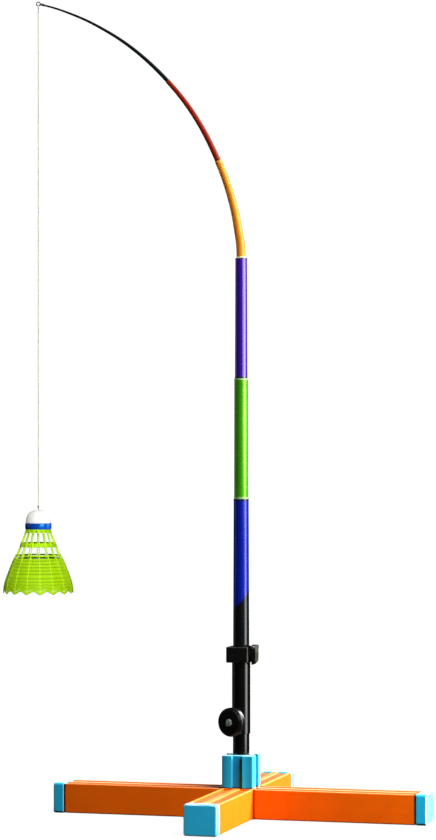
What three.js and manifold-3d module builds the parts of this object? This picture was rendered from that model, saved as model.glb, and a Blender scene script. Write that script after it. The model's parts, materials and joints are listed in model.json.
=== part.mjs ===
// Badminton rebound trainer: cross base, post, sliding outer tube with a lock
// knob, flip-lever clamp, telescopic rod that bends over into a thin tip, and a
// shuttlecock on a hanging cord. Millimetres, +Z up. The origin is the centre of
// the cross on the floor; the long arms run along X, the short arms along Y, and
// the front arm points to -Y.

import * as THREE from 'three';
import { mergeVertices } from 'three/addons/utils/BufferGeometryUtils.js';
import Module from 'manifold-3d';

const wasm = await Module();
wasm.setup();

// ---------------------------------------------------------------- dimensions
const GAP = 0.3;

// base
const ARM_HALF = 20.4; // half width of an arm
const ARM_LOW = 0.4;
const ARM_TOP = 37.8;
const ARM_WALL = 2.2;
const CHANNEL_DEPTH = 1.9;
const CORE_HALF = 20.4;
const CORE_TOP = 37.9;
const STUB_LENGTH = 30;
const SIDE_REACH = 240.5; // centre to the outer face of a side cap
const FRONT_REACH = 188.0; // centre to the outer face of the front and rear caps
const CAP_DEPTH = 13.4;
const CAP_HALF = 20.9;
const CAP_TOP = 38.3;
const CAP_PLUG = 22;
const ARM_SCREW_AT = 38; // from the centre

// hub and post
const HUB_HALF = 20.5;
const HUB_LOW = 38.2;
const HUB_TOP = 78;
const FLUTE_HALF = 6.0;
const FLUTE_DEPTH = 3.0;
const HUB_SCREW_AT = 12.5;
const POST_R = 10.3;
const POST_BORE = 8.8;
const POST_LOW = 42.3;
const POST_TOP = 140;

// outer tube, knob and clamp
const TUBE_R = 11.45;
const TUBE_BORE = 10.65;
const TUBE_LOW = 105;
const TUBE_TOP = 210.7;
const KNOB_Z = 120.7;
const KNOB_ANGLE = -107.4; // degrees about Z, from +X
const KNOB_R = 18.2;
const COLLAR_LOW = 193.9;
const COLLAR_TOP = 213.4;
const COLLAR_X = [-16.3, 12.1];
const COLLAR_Y = 13.5;
const LEVER_PIN = [17.6, 213.6]; // x, z
const LEVER_HALF = 7.5;
const EAR = 3;

// rod
const BEND_ANGLE = 202; // plan direction of the bend, degrees from +X
const BUTT_LOW = 176.3;
const BUTT_TOP = 398;
const GREEN_LOW = 368;
const GREEN_TOP = 548.6;
const PURPLE_LOW = 520;
const PURPLE_TOP = 699;
// centreline of the bent sections: distance from the pole axis, height
const BEND = [
  [0, 699], [0.8, 715], [3.3, 732], [8.6, 760], [18.9, 795], [29.3, 820.9],
  [48.0, 858.9], [68.9, 891.2], [92.7, 919.5], [110.3, 937.2], [131.0, 955.1],
  [151.8, 970.1], [172.5, 982.4], [193.2, 993.0], [213.8, 1001.4], [232, 1007.6], [249.6, 1012.1],
];
const ORANGE_END = 5; // index in BEND
const RED_END = 8;
const ORANGE_R = [5.75, 4.4];
const RED_R = [3.75, 2.9];
const TIP_R = [2.5, 0.8];

// eye, cord and shuttlecock
const EYE = [253.5, 1012.8]; // distance, height
const EYE_R = 2.35;
const EYE_WIRE = 0.65;
const LOOP_WIRE = 0.7;
const LINE_R = 0.7;
const LINE_TOP = 1001.3;
const LINE_LOW = 390.5;
const CORK_TOP = 385.4;

// ---------------------------------------------------------------- helpers
function clean(source) {
  let g = source.clone();
  for (const name of Object.keys(g.attributes)) if (name !== 'position') g.deleteAttribute(name);
  g.clearGroups();
  g = mergeVertices(g, 1e-4);
  const p = g.attributes.position;
  const index = Array.from(g.index.array);
  const keep = [];
  let volume = 0;
  const a = new THREE.Vector3(), b = new THREE.Vector3(), c = new THREE.Vector3();
  for (let i = 0; i < index.length; i += 3) {
    const [u, v, w] = index.slice(i, i + 3);
    if (u === v || v === w || w === u) continue;
    keep.push(u, v, w);
    a.fromBufferAttribute(p, u); b.fromBufferAttribute(p, v); c.fromBufferAttribute(p, w);
    volume += a.dot(b.cross(c)) / 6;
  }
  if (volume < 0) for (let i = 0; i < keep.length; i += 3) [keep[i + 1], keep[i + 2]] = [keep[i + 2], keep[i + 1]];
  g.setIndex(keep);
  g.computeVertexNormals();
  return g;
}

function solid(g) {
  const c = clean(g);
  return new wasm.Manifold(new wasm.Mesh({
    numProp: 3,
    vertProperties: new Float32Array(c.attributes.position.array),
    triVerts: new Uint32Array(c.index.array),
  }));
}

function surface(s) {
  const m = s.getMesh();
  const g = new THREE.BufferGeometry();
  const points = new Float32Array(m.numVert * 3);
  for (let i = 0; i < m.numVert; i++) for (let k = 0; k < 3; k++) points[i * 3 + k] = m.vertProperties[i * m.numProp + k];
  g.setAttribute('position', new THREE.BufferAttribute(points, 3));
  g.setIndex(Array.from(m.triVerts));
  g.computeVertexNormals();
  return g;
}

function cut(body, ...tools) {
  let s = body.isBufferGeometry ? solid(body) : body;
  for (const t of tools) s = s.subtract(t.isBufferGeometry ? solid(t) : t);
  return s;
}

function join(...bodies) {
  let s = bodies[0].isBufferGeometry ? solid(bodies[0]) : bodies[0];
  for (const t of bodies.slice(1)) s = s.add(t.isBufferGeometry ? solid(t) : t);
  return s;
}

// revolves [radius, height] pairs about Z; a profile off the axis is closed on itself
function turned(profile, segments = 24) {
  const points = profile.map(([r, z]) => new THREE.Vector2(r, z));
  const first = points[0], last = points[points.length - 1];
  if (first.x > 1e-6 || last.x > 1e-6) points.push(first.clone());
  return new THREE.LatheGeometry(points, segments).rotateX(Math.PI / 2);
}

function outline(points, holes = []) {
  const shape = new THREE.Shape(points.map(([x, y]) => new THREE.Vector2(x, y)));
  for (const h of holes) shape.holes.push(new THREE.Path(h.map(([x, y]) => new THREE.Vector2(x, y))));
  return shape;
}

// extrudes a shape in X and Y from z0 to z1
function upright(shape, z0, z1, curveSegments = 3) {
  return new THREE.ExtrudeGeometry(shape, { depth: z1 - z0, bevelEnabled: false, curveSegments }).translate(0, 0, z0);
}

// extrudes a shape in X and Z from y0 to y1
function across(shape, y0, y1) {
  return new THREE.ExtrudeGeometry(shape, { depth: y1 - y0, bevelEnabled: false }).rotateX(Math.PI / 2).translate(0, y1, 0);
}

function block(x0, x1, y0, y1, z0, z1) {
  return new THREE.BoxGeometry(x1 - x0, y1 - y0, z1 - z0).translate((x0 + x1) / 2, (y0 + y1) / 2, (z0 + z1) / 2);
}

function rod(r, z0, z1, segments = 12) {
  return new THREE.CylinderGeometry(r, r, z1 - z0, segments, 1).rotateX(Math.PI / 2).translate(0, 0, (z0 + z1) / 2);
}

function material(color, roughness, metalness = 0) {
  return new THREE.MeshStandardMaterial({ color, roughness, metalness });
}

const trainer = new THREE.Group();
function add(name, shape, mat, parent = trainer) {
  const mesh = new THREE.Mesh(shape.isBufferGeometry ? clean(shape) : surface(shape), mat);
  mesh.name = name;
  parent.add(mesh);
  return mesh;
}

const orangePaint = material(0xe86a10, 0.35);
const bluePlastic = material(0x2a8fb5, 0.4);
const blackPaint = material(0x141514, 0.25);
const blackPlastic = material(0x1a1a1b, 0.45);
const zinc = material(0xb8b8b0, 0.35, 0.9);

// ---------------------------------------------------------------- base
{
  const h = CORE_HALF;
  let core = solid(block(-h, h, -h, h, 0, CORE_TOP));
  const inner = ARM_HALF - ARM_WALL - GAP;
  const low = ARM_LOW + ARM_WALL + GAP;
  const high = ARM_TOP - CHANNEL_DEPTH - ARM_WALL - GAP;
  core = join(core, block(-h - STUB_LENGTH, h + STUB_LENGTH, -inner, inner, low, high));
  core = join(core, block(-inner, inner, -h - STUB_LENGTH, h + STUB_LENGTH, low, high));
  for (const [x, y] of [[1, 1], [1, -1], [-1, 1], [-1, -1]]) {
    core = cut(core,
      rod(4.7, -1, 24, 12).translate(x * HUB_SCREW_AT, y * HUB_SCREW_AT, 0),
      rod(2.3, 20, 45, 8).translate(x * HUB_SCREW_AT, y * HUB_SCREW_AT, 0));
  }
  for (const [x, y] of [[1, 0], [-1, 0], [0, 1], [0, -1]]) {
    core = cut(core, rod(2.2, low - 1, 19, 8).translate(x * ARM_SCREW_AT, y * ARM_SCREW_AT, 0));
  }
  add('base_core', core, orangePaint);
}

function armSection() {
  const w = ARM_HALF, z0 = ARM_LOW, z1 = ARM_TOP, d = CHANNEL_DEPTH, c = 1.2;
  const half = [
    [w - c, z0], [w, z0 + c], [w, z1 - c], [w - c, z1],
    [w - 3.4, z1], [w - 4.2, z1 - d], [4.6, z1 - d], [3.8, z1],
  ];
  const other = half.map(([x, z]) => [-x, z]).reverse();
  const i = w - ARM_WALL, l = z0 + ARM_WALL, t = z1 - d - ARM_WALL;
  return outline([...half, ...other], [[[-i, l], [-i, t], [i, t], [i, l]]]);
}

const arms = [
  ['front', 0, FRONT_REACH],
  ['right', 90, SIDE_REACH],
  ['rear', 180, FRONT_REACH],
  ['left', -90, SIDE_REACH],
];

for (const [side, angle, reach] of arms) {
  const arm = new THREE.Group();
  arm.rotation.z = THREE.MathUtils.degToRad(angle);
  trainer.add(arm);
  const start = CORE_HALF + GAP;
  const end = reach - CAP_DEPTH - GAP;
  let tube = solid(across(armSection(), -end, -start));
  tube = cut(tube, turned([[0, ARM_LOW - 1], [4.6, ARM_LOW - 1], [4.6, ARM_LOW], [2.3, ARM_LOW + ARM_WALL], [2.3, ARM_LOW + ARM_WALL + 1], [0, ARM_LOW + ARM_WALL + 1]], 12).translate(0, -ARM_SCREW_AT, 0));
  add(`arm_${side}`, tube, orangePaint, arm);

  // the cap: a rounded block proud of the arm all round, and a hollow plug inside the arm
  const b = 1.2, r = 2.2, w = CAP_HALF - b, low = b, top = CAP_TOP - b;
  const face = new THREE.Shape();
  face.moveTo(-w + r, low);
  face.lineTo(w - r, low);
  face.quadraticCurveTo(w, low, w, low + r);
  face.lineTo(w, top - r);
  face.quadraticCurveTo(w, top, w - r, top);
  face.lineTo(-w + r, top);
  face.quadraticCurveTo(-w, top, -w, top - r);
  face.lineTo(-w, low + r);
  face.quadraticCurveTo(-w, low, -w + r, low);
  const body = new THREE.ExtrudeGeometry(face, {
    depth: CAP_DEPTH - 2 * b, bevelEnabled: true, bevelThickness: b, bevelSize: b, bevelSegments: 1, curveSegments: 2,
  }).rotateX(Math.PI / 2).translate(0, -reach + CAP_DEPTH - b, 0);
  const pi = ARM_HALF - ARM_WALL - GAP, pl = ARM_LOW + ARM_WALL + GAP, pt = ARM_TOP - CHANNEL_DEPTH - ARM_WALL - GAP, pw = 2.5;
  const plug = across(outline(
    [[-pi, pl], [pi, pl], [pi, pt], [-pi, pt]],
    [[[-pi + pw, pl + pw], [-pi + pw, pt - pw], [pi - pw, pt - pw], [pi - pw, pl + pw]]],
  ), -reach + CAP_DEPTH - 1, -reach + CAP_DEPTH + CAP_PLUG);
  add(`cap_${side}`, join(body, plug), bluePlastic, arm);

  const screw = turned([[0, ARM_LOW + 0.5], [3.9, ARM_LOW + 0.5], [2.0, ARM_LOW + ARM_WALL + 0.1], [1.8, 18], [0, 18]], 10).translate(0, -ARM_SCREW_AT, 0);
  add(`screw_arm_${side}`, screw, zinc, arm);
}

// ---------------------------------------------------------------- hub and post
{
  const h = HUB_HALF, f = FLUTE_HALF, d = FLUTE_DEPTH, c = 2.6, s = 1.0;
  const side = [[h - c, -h], [h - 0.7, -h + 0.7], [h, -h + c], [h, -f - s], [h - d, -f], [h - d, f], [h, f + s]];
  const points = [];
  for (let k = 0; k < 4; k++) {
    const a = k * Math.PI / 2;
    for (const [x, y] of side) points.push([x * Math.cos(a) - y * Math.sin(a), x * Math.sin(a) + y * Math.cos(a)]);
  }
  let hub = solid(upright(outline(points), HUB_LOW, HUB_TOP));
  hub = cut(hub, rod(POST_R + GAP + 0.05, 42, HUB_TOP + 1, 24));
  for (const [x, y] of [[1, 1], [1, -1], [-1, 1], [-1, -1]]) {
    hub = cut(hub, rod(2.3, HUB_LOW - 1, 58, 8).translate(x * HUB_SCREW_AT, y * HUB_SCREW_AT, 0));
  }
  hub = cut(hub, rod(2.3, 5, 30, 8).rotateX(-Math.PI / 2).translate(0, 0, 60));
  add('hub_socket', hub, bluePlastic);
  let n = 0;
  for (const [x, y] of [[1, 1], [1, -1], [-1, 1], [-1, -1]]) {
    n += 1;
    add(`screw_hub_${n}`, turned([[0, 20], [4.2, 20], [4.2, 23.7], [1.9, 23.7], [1.9, 56], [0, 56]], 8).translate(x * HUB_SCREW_AT, y * HUB_SCREW_AT, 0), zinc);
  }
  add('base_post', turned([[POST_R, POST_LOW], [POST_R, POST_TOP], [POST_BORE, POST_TOP], [POST_BORE, POST_LOW]], 24), blackPaint);
  add('post_grub_screw', turned([[0, 10.7], [1.9, 10.7], [1.9, 17.2], [1.1, 17.2], [1.1, 15.4], [0, 15.4]], 8).rotateX(-Math.PI / 2).translate(0, 0, 60), zinc);
}

// ---------------------------------------------------------------- outer tube and knob
const knobGroup = new THREE.Group();
// the group's +Z points out along the knob's axis
knobGroup.quaternion.setFromUnitVectors(
  new THREE.Vector3(0, 0, 1),
  new THREE.Vector3(Math.cos(THREE.MathUtils.degToRad(KNOB_ANGLE)), Math.sin(THREE.MathUtils.degToRad(KNOB_ANGLE)), 0),
);
knobGroup.position.set(0, 0, KNOB_Z);
trainer.add(knobGroup);
knobGroup.updateMatrix();

function alongKnob(g) {
  return g.clone().applyMatrix4(knobGroup.matrix);
}

{
  let tube = solid(turned([[TUBE_R, TUBE_LOW], [TUBE_R, TUBE_TOP], [TUBE_BORE, TUBE_TOP], [TUBE_BORE, TUBE_LOW]], 32));
  tube = cut(tube, alongKnob(rod(3.3, 5, 20, 12)), block(5, 15, -4.3, 4.3, 203.7, 214));
  add('outer_tube', tube, blackPaint);

  const boss = cut(solid(alongKnob(rod(7.5, 6, 17.2, 16))), rod(TUBE_R + GAP, KNOB_Z - 20, KNOB_Z + 20, 32), alongKnob(rod(3.3, 0, 20, 12)));
  add('knob_boss', boss, zinc);

  add('brake_pad', rod(2.9, TUBE_BORE, 12.6, 12), material(0xcfc9b8, 0.5), knobGroup);

  let stud = solid(turned([[0, 12.9], [2.9, 12.9], [2.9, 26.6], [4.5, 26.6], [4.5, 28.3], [3.2, 29.3], [0, 29.6]], 16));
  stud = cut(stud, block(-6, 6, -0.6, 0.6, 28.4, 31));
  add('knob_stud', stud, zinc, knobGroup);

  add('lock_knob', turned([
    [3.25, 17.6], [16.4, 17.6], [17.8, 18.6], [KNOB_R, 20], [KNOB_R, 25.5], [17.4, 27.0],
    [14.8, 27.9], [9, 28.6], [4.9, 29.0], [4.9, 26.3], [3.25, 26.3],
  ], 28), blackPlastic, knobGroup);
}

// ---------------------------------------------------------------- clamp
{
  const [px, pz] = LEVER_PIN;
  let collar = solid(block(COLLAR_X[0], COLLAR_X[1], -COLLAR_Y, COLLAR_Y, COLLAR_LOW, COLLAR_TOP));
  const ear = outline([[10.5, 206], [16.8, 206], [20.0, 210.2], [20.0, 214.6], [19.0, 215.6], [12.4, 215.6], [10.5, 213]]);
  const e0 = LEVER_HALF + GAP;
  collar = join(collar, across(ear, e0, e0 + EAR), across(ear, -e0 - EAR, -e0));
  collar = cut(collar,
    rod(TUBE_R + GAP, COLLAR_LOW - 1, 211, 32),
    rod(10.6, 210, COLLAR_TOP + 3, 32),
    block(8, 20, -4.3, 4.3, 203.7, 211.3),
    rod(1.4, -15, 15, 10).rotateX(Math.PI / 2).translate(px, 0, pz));
  add('clamp_collar', collar, blackPlastic);

  add('lever_pin', turned([[0, -11.8], [2.0, -11.8], [2.0, -11.1], [1.1, -11.1], [1.1, 11.1], [2.0, 11.1], [2.0, 11.8], [0, 11.8]], 10).rotateX(Math.PI / 2).translate(px, 0, pz), zinc);

  const profile = outline([
    [20.0, 213.6], [19.3, 215.3], [17.6, 216.0], [15.9, 215.3], [15.0, 213.6], [13.9, 212.4],
    [13.5, 211.0], [13.5, 209.4], [14.6, 207.8], [15.0, 206.5], [15.0, 191.8], [16.0, 191.1],
    [20.5, 195.7], [20.8, 205.5], [20.4, 211.5],
  ]);
  const window_ = block(16.4, 19.0, -9, 9, 207.4, 210.9);
  const lever = cut(across(profile, -LEVER_HALF, LEVER_HALF), window_,
    rod(1.4, -15, 15, 10).rotateX(Math.PI / 2).translate(px, 0, pz));
  add('clamp_lever', lever, blackPlastic);

  add('clamp_shoe', block(10.45, 13.15, -4, 4, 204, 211), material(0x8a8a84, 0.5));
}

// ---------------------------------------------------------------- straight rod sections
add('rod_bush', turned([[5, 173], [10.35, 173], [10.35, 176], [8.7, 176], [8.7, 190], [5, 190]], 24), blackPlastic);
add('rod_butt', turned([
  [10.1, BUTT_LOW], [10.1, 214], [9.4, BUTT_TOP - 0.8], [9.2, BUTT_TOP], [8.95, BUTT_TOP], [8.95, 380], [9.15, 200], [9.15, BUTT_LOW],
], 24), material(0x0a1a9a, 0.2));
add('green_section', turned([
  [8.65, GREEN_LOW], [8.6, BUTT_TOP], [8.3, GREEN_TOP - 0.6], [8.1, GREEN_TOP], [7.85, GREEN_TOP], [7.85, 530], [7.95, GREEN_LOW],
], 24), material(0x2f8a10, 0.2));
add('purple_section', turned([
  [7.6, PURPLE_LOW], [7.55, GREEN_TOP], [7.0, PURPLE_TOP - 0.6], [6.8, PURPLE_TOP], [6.3, PURPLE_TOP], [6.3, 670], [6.7, PURPLE_LOW],
], 24), material(0x2a0f80, 0.2));
add('orange_ferrule', rod(6.0, 672, PURPLE_TOP - 0.3, 16), blackPlastic);

// ---------------------------------------------------------------- bent sections, in the plane of the bend
const bend = new THREE.Group();
bend.rotation.z = THREE.MathUtils.degToRad(BEND_ANGLE);
trainer.add(bend);

const line = new THREE.CatmullRomCurve3(BEND.map(([r, z]) => new THREE.Vector3(r, 0, z)), false, 'centripetal');
line.arcLengthDivisions = 4000;
line.updateArcLengths();
const total = line.getLength();

// arc length from the start to a point of BEND
function lengthTo(index) {
  const lengths = line.getLengths();
  return lengths[Math.round(index / (BEND.length - 1) * (lengths.length - 1))];
}

// a tapered cylinder whose axis follows the centreline from length s0 to s1
function bent(s0, s1, r0, r1, sides, steps) {
  const g = new THREE.CylinderGeometry(r1, r0, s1 - s0, sides, steps).rotateX(Math.PI / 2).translate(0, 0, (s0 + s1) / 2);
  const p = g.attributes.position;
  const point = new THREE.Vector3(), tangent = new THREE.Vector3();
  for (let i = 0; i < p.count; i++) {
    const u = THREE.MathUtils.clamp(p.getZ(i) / total, 0, 1);
    line.getPointAt(u, point);
    line.getTangentAt(u, tangent);
    const x = p.getX(i), y = p.getY(i);
    // the section's x runs across the bend in its plane, and its y along the plane's normal
    p.setXYZ(i, point.x + x * tangent.z, y, point.z - x * tangent.x);
  }
  return g;
}

const sOrange = lengthTo(ORANGE_END);
const sRed = lengthTo(RED_END);
add('orange_section', bent(1.0, sOrange, ORANGE_R[0], ORANGE_R[1], 16, 12), material(0xe07810, 0.25), bend);
add('red_section', bent(sOrange + 0.8, sRed, RED_R[0], RED_R[1], 12, 12), material(0xb03020, 0.3), bend);
add('tip_section', bent(sRed + 0.8, total, TIP_R[0], TIP_R[1], 10, 16), material(0x1c2c28, 0.3), bend);

// the wire eye with its sleeve over the end of the tip
{
  const end = line.getPointAt(1), t = line.getTangentAt(1);
  const eye = new THREE.TorusGeometry(EYE_R, EYE_WIRE, 6, 18).rotateX(Math.PI / 2).translate(EYE[0], 0, EYE[1]);
  const tilt = Math.atan2(t.x, t.z);
  let sleeve = solid(rod(1.6, -7, 1.9, 10).rotateY(tilt).translate(end.x, 0, end.z));
  sleeve = cut(sleeve, rod(1.15, -8, 0.35, 10).rotateY(tilt).translate(end.x, 0, end.z));
  sleeve = cut(sleeve, rod(EYE_R - 0.2, -3, 3, 16).rotateX(Math.PI / 2).translate(EYE[0], 0, EYE[1]));
  add('tip_ring', join(sleeve, eye), material(0x2a2a28, 0.35, 0.8), bend);
}

// ---------------------------------------------------------------- cord
add('line_loop', new THREE.TorusGeometry(2.4, LOOP_WIRE, 6, 16).scale(1.33, 1, 1).rotateY(Math.PI / 2).translate(EYE[0], 0, 1008.9), material(0xd8d8cc, 0.6), bend);
add('line_knot', new THREE.SphereGeometry(1.5, 10, 6).rotateX(Math.PI / 2).translate(EYE[0], 0, 1003.1), material(0xd8d8cc, 0.6), bend);
{
  const section = new THREE.Shape();
  for (let k = 0; k < 8; k++) {
    const a = k * Math.PI / 4;
    if (k === 0) section.moveTo(LINE_R, 0);
    else section.lineTo(LINE_R * Math.cos(a), LINE_R * Math.sin(a));
  }
  section.closePath();
  const path = new THREE.LineCurve3(new THREE.Vector3(EYE[0], 0, LINE_TOP), new THREE.Vector3(EYE[0], 0, LINE_LOW));
  add('hanging_line', new THREE.ExtrudeGeometry(section, { steps: 24, bevelEnabled: false, extrudePath: path }), material(0xd8d8cc, 0.6), bend);
}

// ---------------------------------------------------------------- shuttlecock
const shuttle = new THREE.Group();
shuttle.position.set(EYE[0], 0, 0);
bend.add(shuttle);
add('shuttle_knot', turned([
  [0, 390.2], [1.6, 389.6], [2.3, 388], [1.7, 386.3], [0.9, 385.7], [0.9, 376.4], [2.2, 375.4], [2.4, 374], [1.4, 372.4], [0, 372.2],
], 10), material(0xd8d8cc, 0.6), shuttle);
add('shuttle_cork', turned([
  [1.3, CORK_TOP], [5, 384.9], [9.5, 382.8], [13, 379], [15.0, 374.8], [15.6, 371], [15.6, 368.9], [12.25, 368.9], [12.25, 377.5], [1.3, 377.5],
], 24), material(0xf2efe8, 0.6), shuttle);
add('shuttle_band', turned([[15.65, 361.3], [16.3, 361.3], [16.3, 368.5], [15.65, 368.5]], 24), material(0x0a48c8, 0.4), shuttle);
{
  let skirt = solid(turned([
    [11.9, 377.2], [11.9, 368.4], [15.3, 368.4], [15.3, 361], [22.9, 339.8],
    [32.2, 321.1], [41.6, 296.3], [43.5, 281.4],
    [42.4, 281.4], [40.5, 296.8], [31.1, 321.6], [21.8, 340.2],
    [14.0, 361.6], [14.0, 366.8], [9, 366.8], [9, 377.2],
  ], 32));
  for (let k = 0; k < 16; k++) {
    const a = (k + 0.5) * Math.PI / 8;
    skirt = cut(skirt,
      block(10, 30, -2.1, 2.1, 347.4, 356.6).rotateZ(a),
      block(15, 40, -2.8, 2.8, 332.6, 338.4).rotateZ(a));
  }
  add('shuttle_skirt', skirt, material(0xb4e610, 0.4), shuttle);
}

export default trainer;
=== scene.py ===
import json
import math

import bmesh
import bpy
from mathutils import Matrix, Vector

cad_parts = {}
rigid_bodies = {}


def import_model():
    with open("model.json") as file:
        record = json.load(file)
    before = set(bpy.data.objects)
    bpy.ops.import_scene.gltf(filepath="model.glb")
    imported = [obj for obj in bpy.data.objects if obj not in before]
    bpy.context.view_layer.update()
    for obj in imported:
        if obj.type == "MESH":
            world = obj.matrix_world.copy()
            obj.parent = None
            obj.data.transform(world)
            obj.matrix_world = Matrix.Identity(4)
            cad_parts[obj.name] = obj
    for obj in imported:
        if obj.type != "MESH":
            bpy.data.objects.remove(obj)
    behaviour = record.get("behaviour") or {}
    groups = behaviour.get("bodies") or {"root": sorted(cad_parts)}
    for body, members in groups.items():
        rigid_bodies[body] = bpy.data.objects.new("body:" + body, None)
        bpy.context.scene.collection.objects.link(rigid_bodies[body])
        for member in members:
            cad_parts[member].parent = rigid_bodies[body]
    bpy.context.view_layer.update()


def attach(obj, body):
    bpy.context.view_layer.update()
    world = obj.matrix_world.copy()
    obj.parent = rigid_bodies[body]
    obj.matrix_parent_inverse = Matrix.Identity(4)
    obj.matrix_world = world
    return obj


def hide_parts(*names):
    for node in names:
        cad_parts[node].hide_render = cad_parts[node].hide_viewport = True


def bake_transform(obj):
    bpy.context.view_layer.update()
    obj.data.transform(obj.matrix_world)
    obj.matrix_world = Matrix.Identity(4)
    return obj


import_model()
scene = bpy.context.scene

# ------------------------------------------------------------------ camera
AZIMUTH = math.radians(15.6)
camera_data = bpy.data.cameras.new("camera")
camera_data.sensor_width = 36.0
camera_data.lens = 132.86
camera_data.clip_start = 0.05
camera_data.clip_end = 200.0
camera = bpy.data.objects.new("camera", camera_data)
scene.collection.objects.link(camera)
camera.location = (1.0142, -3.7402, 0.4966)
camera.rotation_euler = (math.pi / 2, 0.0, AZIMUTH)
scene.camera = camera

RIGHT = Vector((math.cos(AZIMUTH), math.sin(AZIMUTH), 0.0))
BACK = Vector((math.sin(AZIMUTH), -math.cos(AZIMUTH), 0.0))

MM = 0.001
TAU = 2 * math.pi


# ------------------------------------------------------------------ shape helpers (millimetres in, metres out)
def mesh_object(name, verts, faces, **attributes):
    me = bpy.data.meshes.new(name)
    me.from_pydata([(v[0] * MM, v[1] * MM, v[2] * MM) for v in verts], [], faces)
    for key, values in attributes.items():
        if values is not None:
            layer = me.attributes.new(key, "FLOAT", "POINT")
            layer.data.foreach_set("value", [float(v) for v in values])
    me.update()
    ob = bpy.data.objects.new(name, me)
    scene.collection.objects.link(ob)
    return tidy(ob)


def tidy(ob, merge=1e-7):
    bm = bmesh.new()
    bm.from_mesh(ob.data)
    bmesh.ops.remove_doubles(bm, verts=bm.verts, dist=merge)
    bmesh.ops.dissolve_degenerate(bm, edges=bm.edges, dist=1e-8)
    bmesh.ops.recalc_face_normals(bm, faces=bm.faces)
    bm.to_mesh(ob.data)
    bm.free()
    ob.data.update()
    return ob


def move(ob, m):
    ob.data.transform(m)
    if m.determinant() < 0:
        ob.data.flip_normals()
    return ob


def shifted(x=0.0, y=0.0, z=0.0):
    return Matrix.Translation((x * MM, y * MM, z * MM))


def turned_about_z(degrees):
    return Matrix.Rotation(math.radians(degrees), 4, "Z")


# local X, Y, Z to world directions
def axes(x, y, z, origin=(0, 0, 0)):
    m = Matrix.Identity(4)
    for i, v in enumerate((x, y, z)):
        for k in range(3):
            m[k][i] = v[k]
    for k in range(3):
        m[k][3] = origin[k] * MM
    return m


XZ = axes((1, 0, 0), (0, 0, 1), (0, 1, 0))  # a shape drawn in X and Z, pushed along Y


def fillet(points, radius=0.0, closed=True, steps=4):
    """Rounds the corners of a polygon or profile. A point is (x, y) or (x, y, radius). The third value returned is highest in the middle of each tight arc."""
    n = len(points)
    out = []
    for i, p in enumerate(points):
        r = p[2] if len(p) > 2 else radius
        q = Vector(p[:2])
        if r <= 0 or (not closed and i in (0, n - 1)):
            out.append((q.x, q.y, 0.0))
            continue
        a = Vector(points[i - 1][:2]) - q
        b = Vector(points[(i + 1) % n][:2]) - q
        la, lb = a.length, b.length
        a, b = a / la, b / lb
        angle = math.acos(max(-1.0, min(1.0, a.dot(b))))
        if angle > math.pi - 0.02 or angle < 0.02:
            out.append((q.x, q.y, 0.0))
            continue
        t = r / math.tan(angle / 2)
        limit = 0.48 * min(la, lb)
        if t > limit:
            t = limit
            r = t * math.tan(angle / 2)
        centre = q + (a + b).normalized() * (r / math.sin(angle / 2))
        v1, v2 = q + a * t - centre, q + b * t - centre
        a1 = math.atan2(v1.y, v1.x)
        d = (math.atan2(v2.y, v2.x) - a1 + math.pi) % TAU - math.pi
        k = max(2, int(math.ceil(abs(d) / (math.pi / 2) * steps)))
        for j in range(k + 1):
            w = a1 + d * j / k
            out.append((centre.x + r * math.cos(w), centre.y + r * math.sin(w), min(1.0, 1.2 / r) * math.sin(math.pi * j / k)))
    return out


def inset(points, distance):
    n = len(points)
    out = []
    for i in range(n):
        p = Vector(points[i][:2])
        a = (p - Vector(points[i - 1][:2])).normalized()
        b = (Vector(points[(i + 1) % n][:2]) - p).normalized()
        n1, n2 = Vector((a.y, -a.x)), Vector((b.y, -b.x))
        m = (n1 + n2) / max(0.3, 1 + n1.dot(n2))
        q = p - m * distance
        out.append((q.x, q.y, points[i][2] if len(points[i]) > 2 else 0.0))
    return out


def area_of(points):
    return 0.5 * sum(points[i - 1][0] * points[i][1] - points[i][0] * points[i - 1][1] for i in range(len(points)))


def prism(name, points, z0, z1, bevel=0.0, steps=3, levels=()):
    """A closed outline pushed from z0 to z1, with rounded ends."""
    if area_of(points) < 0:
        points = list(reversed(points))
    rings = []
    if bevel > 0:
        for j in range(steps + 1):
            f = j / steps * math.pi / 2
            rings.append((bevel * (1 - math.sin(f)), z0 + bevel * (1 - math.cos(f)), math.sin(math.pi * j / steps)))
        for z in levels:
            rings.append((0.0, z, 0.0))
        for j in range(steps, -1, -1):
            f = j / steps * math.pi / 2
            rings.append((bevel * (1 - math.sin(f)), z1 - bevel * (1 - math.cos(f)), math.sin(math.pi * j / steps)))
    else:
        rings = [(0.0, z0, 0.0)] + [(0.0, z, 0.0) for z in levels] + [(0.0, z1, 0.0)]
    n = len(points)
    verts, faces, edge = [], [], []
    for k, (d, z, w) in enumerate(rings):
        loop = inset(points, d) if d > 1e-9 else points
        flat = bevel > 0 and k in (0, len(rings) - 1)
        for p in loop:
            verts.append((p[0], p[1], z))
            edge.append(0.0 if flat else max(w, p[2] if len(p) > 2 else 0.0))
    for k in range(len(rings) - 1):
        for i in range(n):
            j = (i + 1) % n
            faces.append((k * n + i, k * n + j, (k + 1) * n + j, (k + 1) * n + i))
    faces.append(tuple(range(n - 1, -1, -1)))
    last = (len(rings) - 1) * n
    faces.append(tuple(last + i for i in range(n)))
    ob = mesh_object(name, verts, faces, edge=edge)
    bm = bmesh.new()
    bm.from_mesh(ob.data)
    bmesh.ops.triangulate(bm, faces=[f for f in bm.faces if len(f.verts) > 4])
    bm.to_mesh(ob.data)
    bm.free()
    return ob


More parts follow.
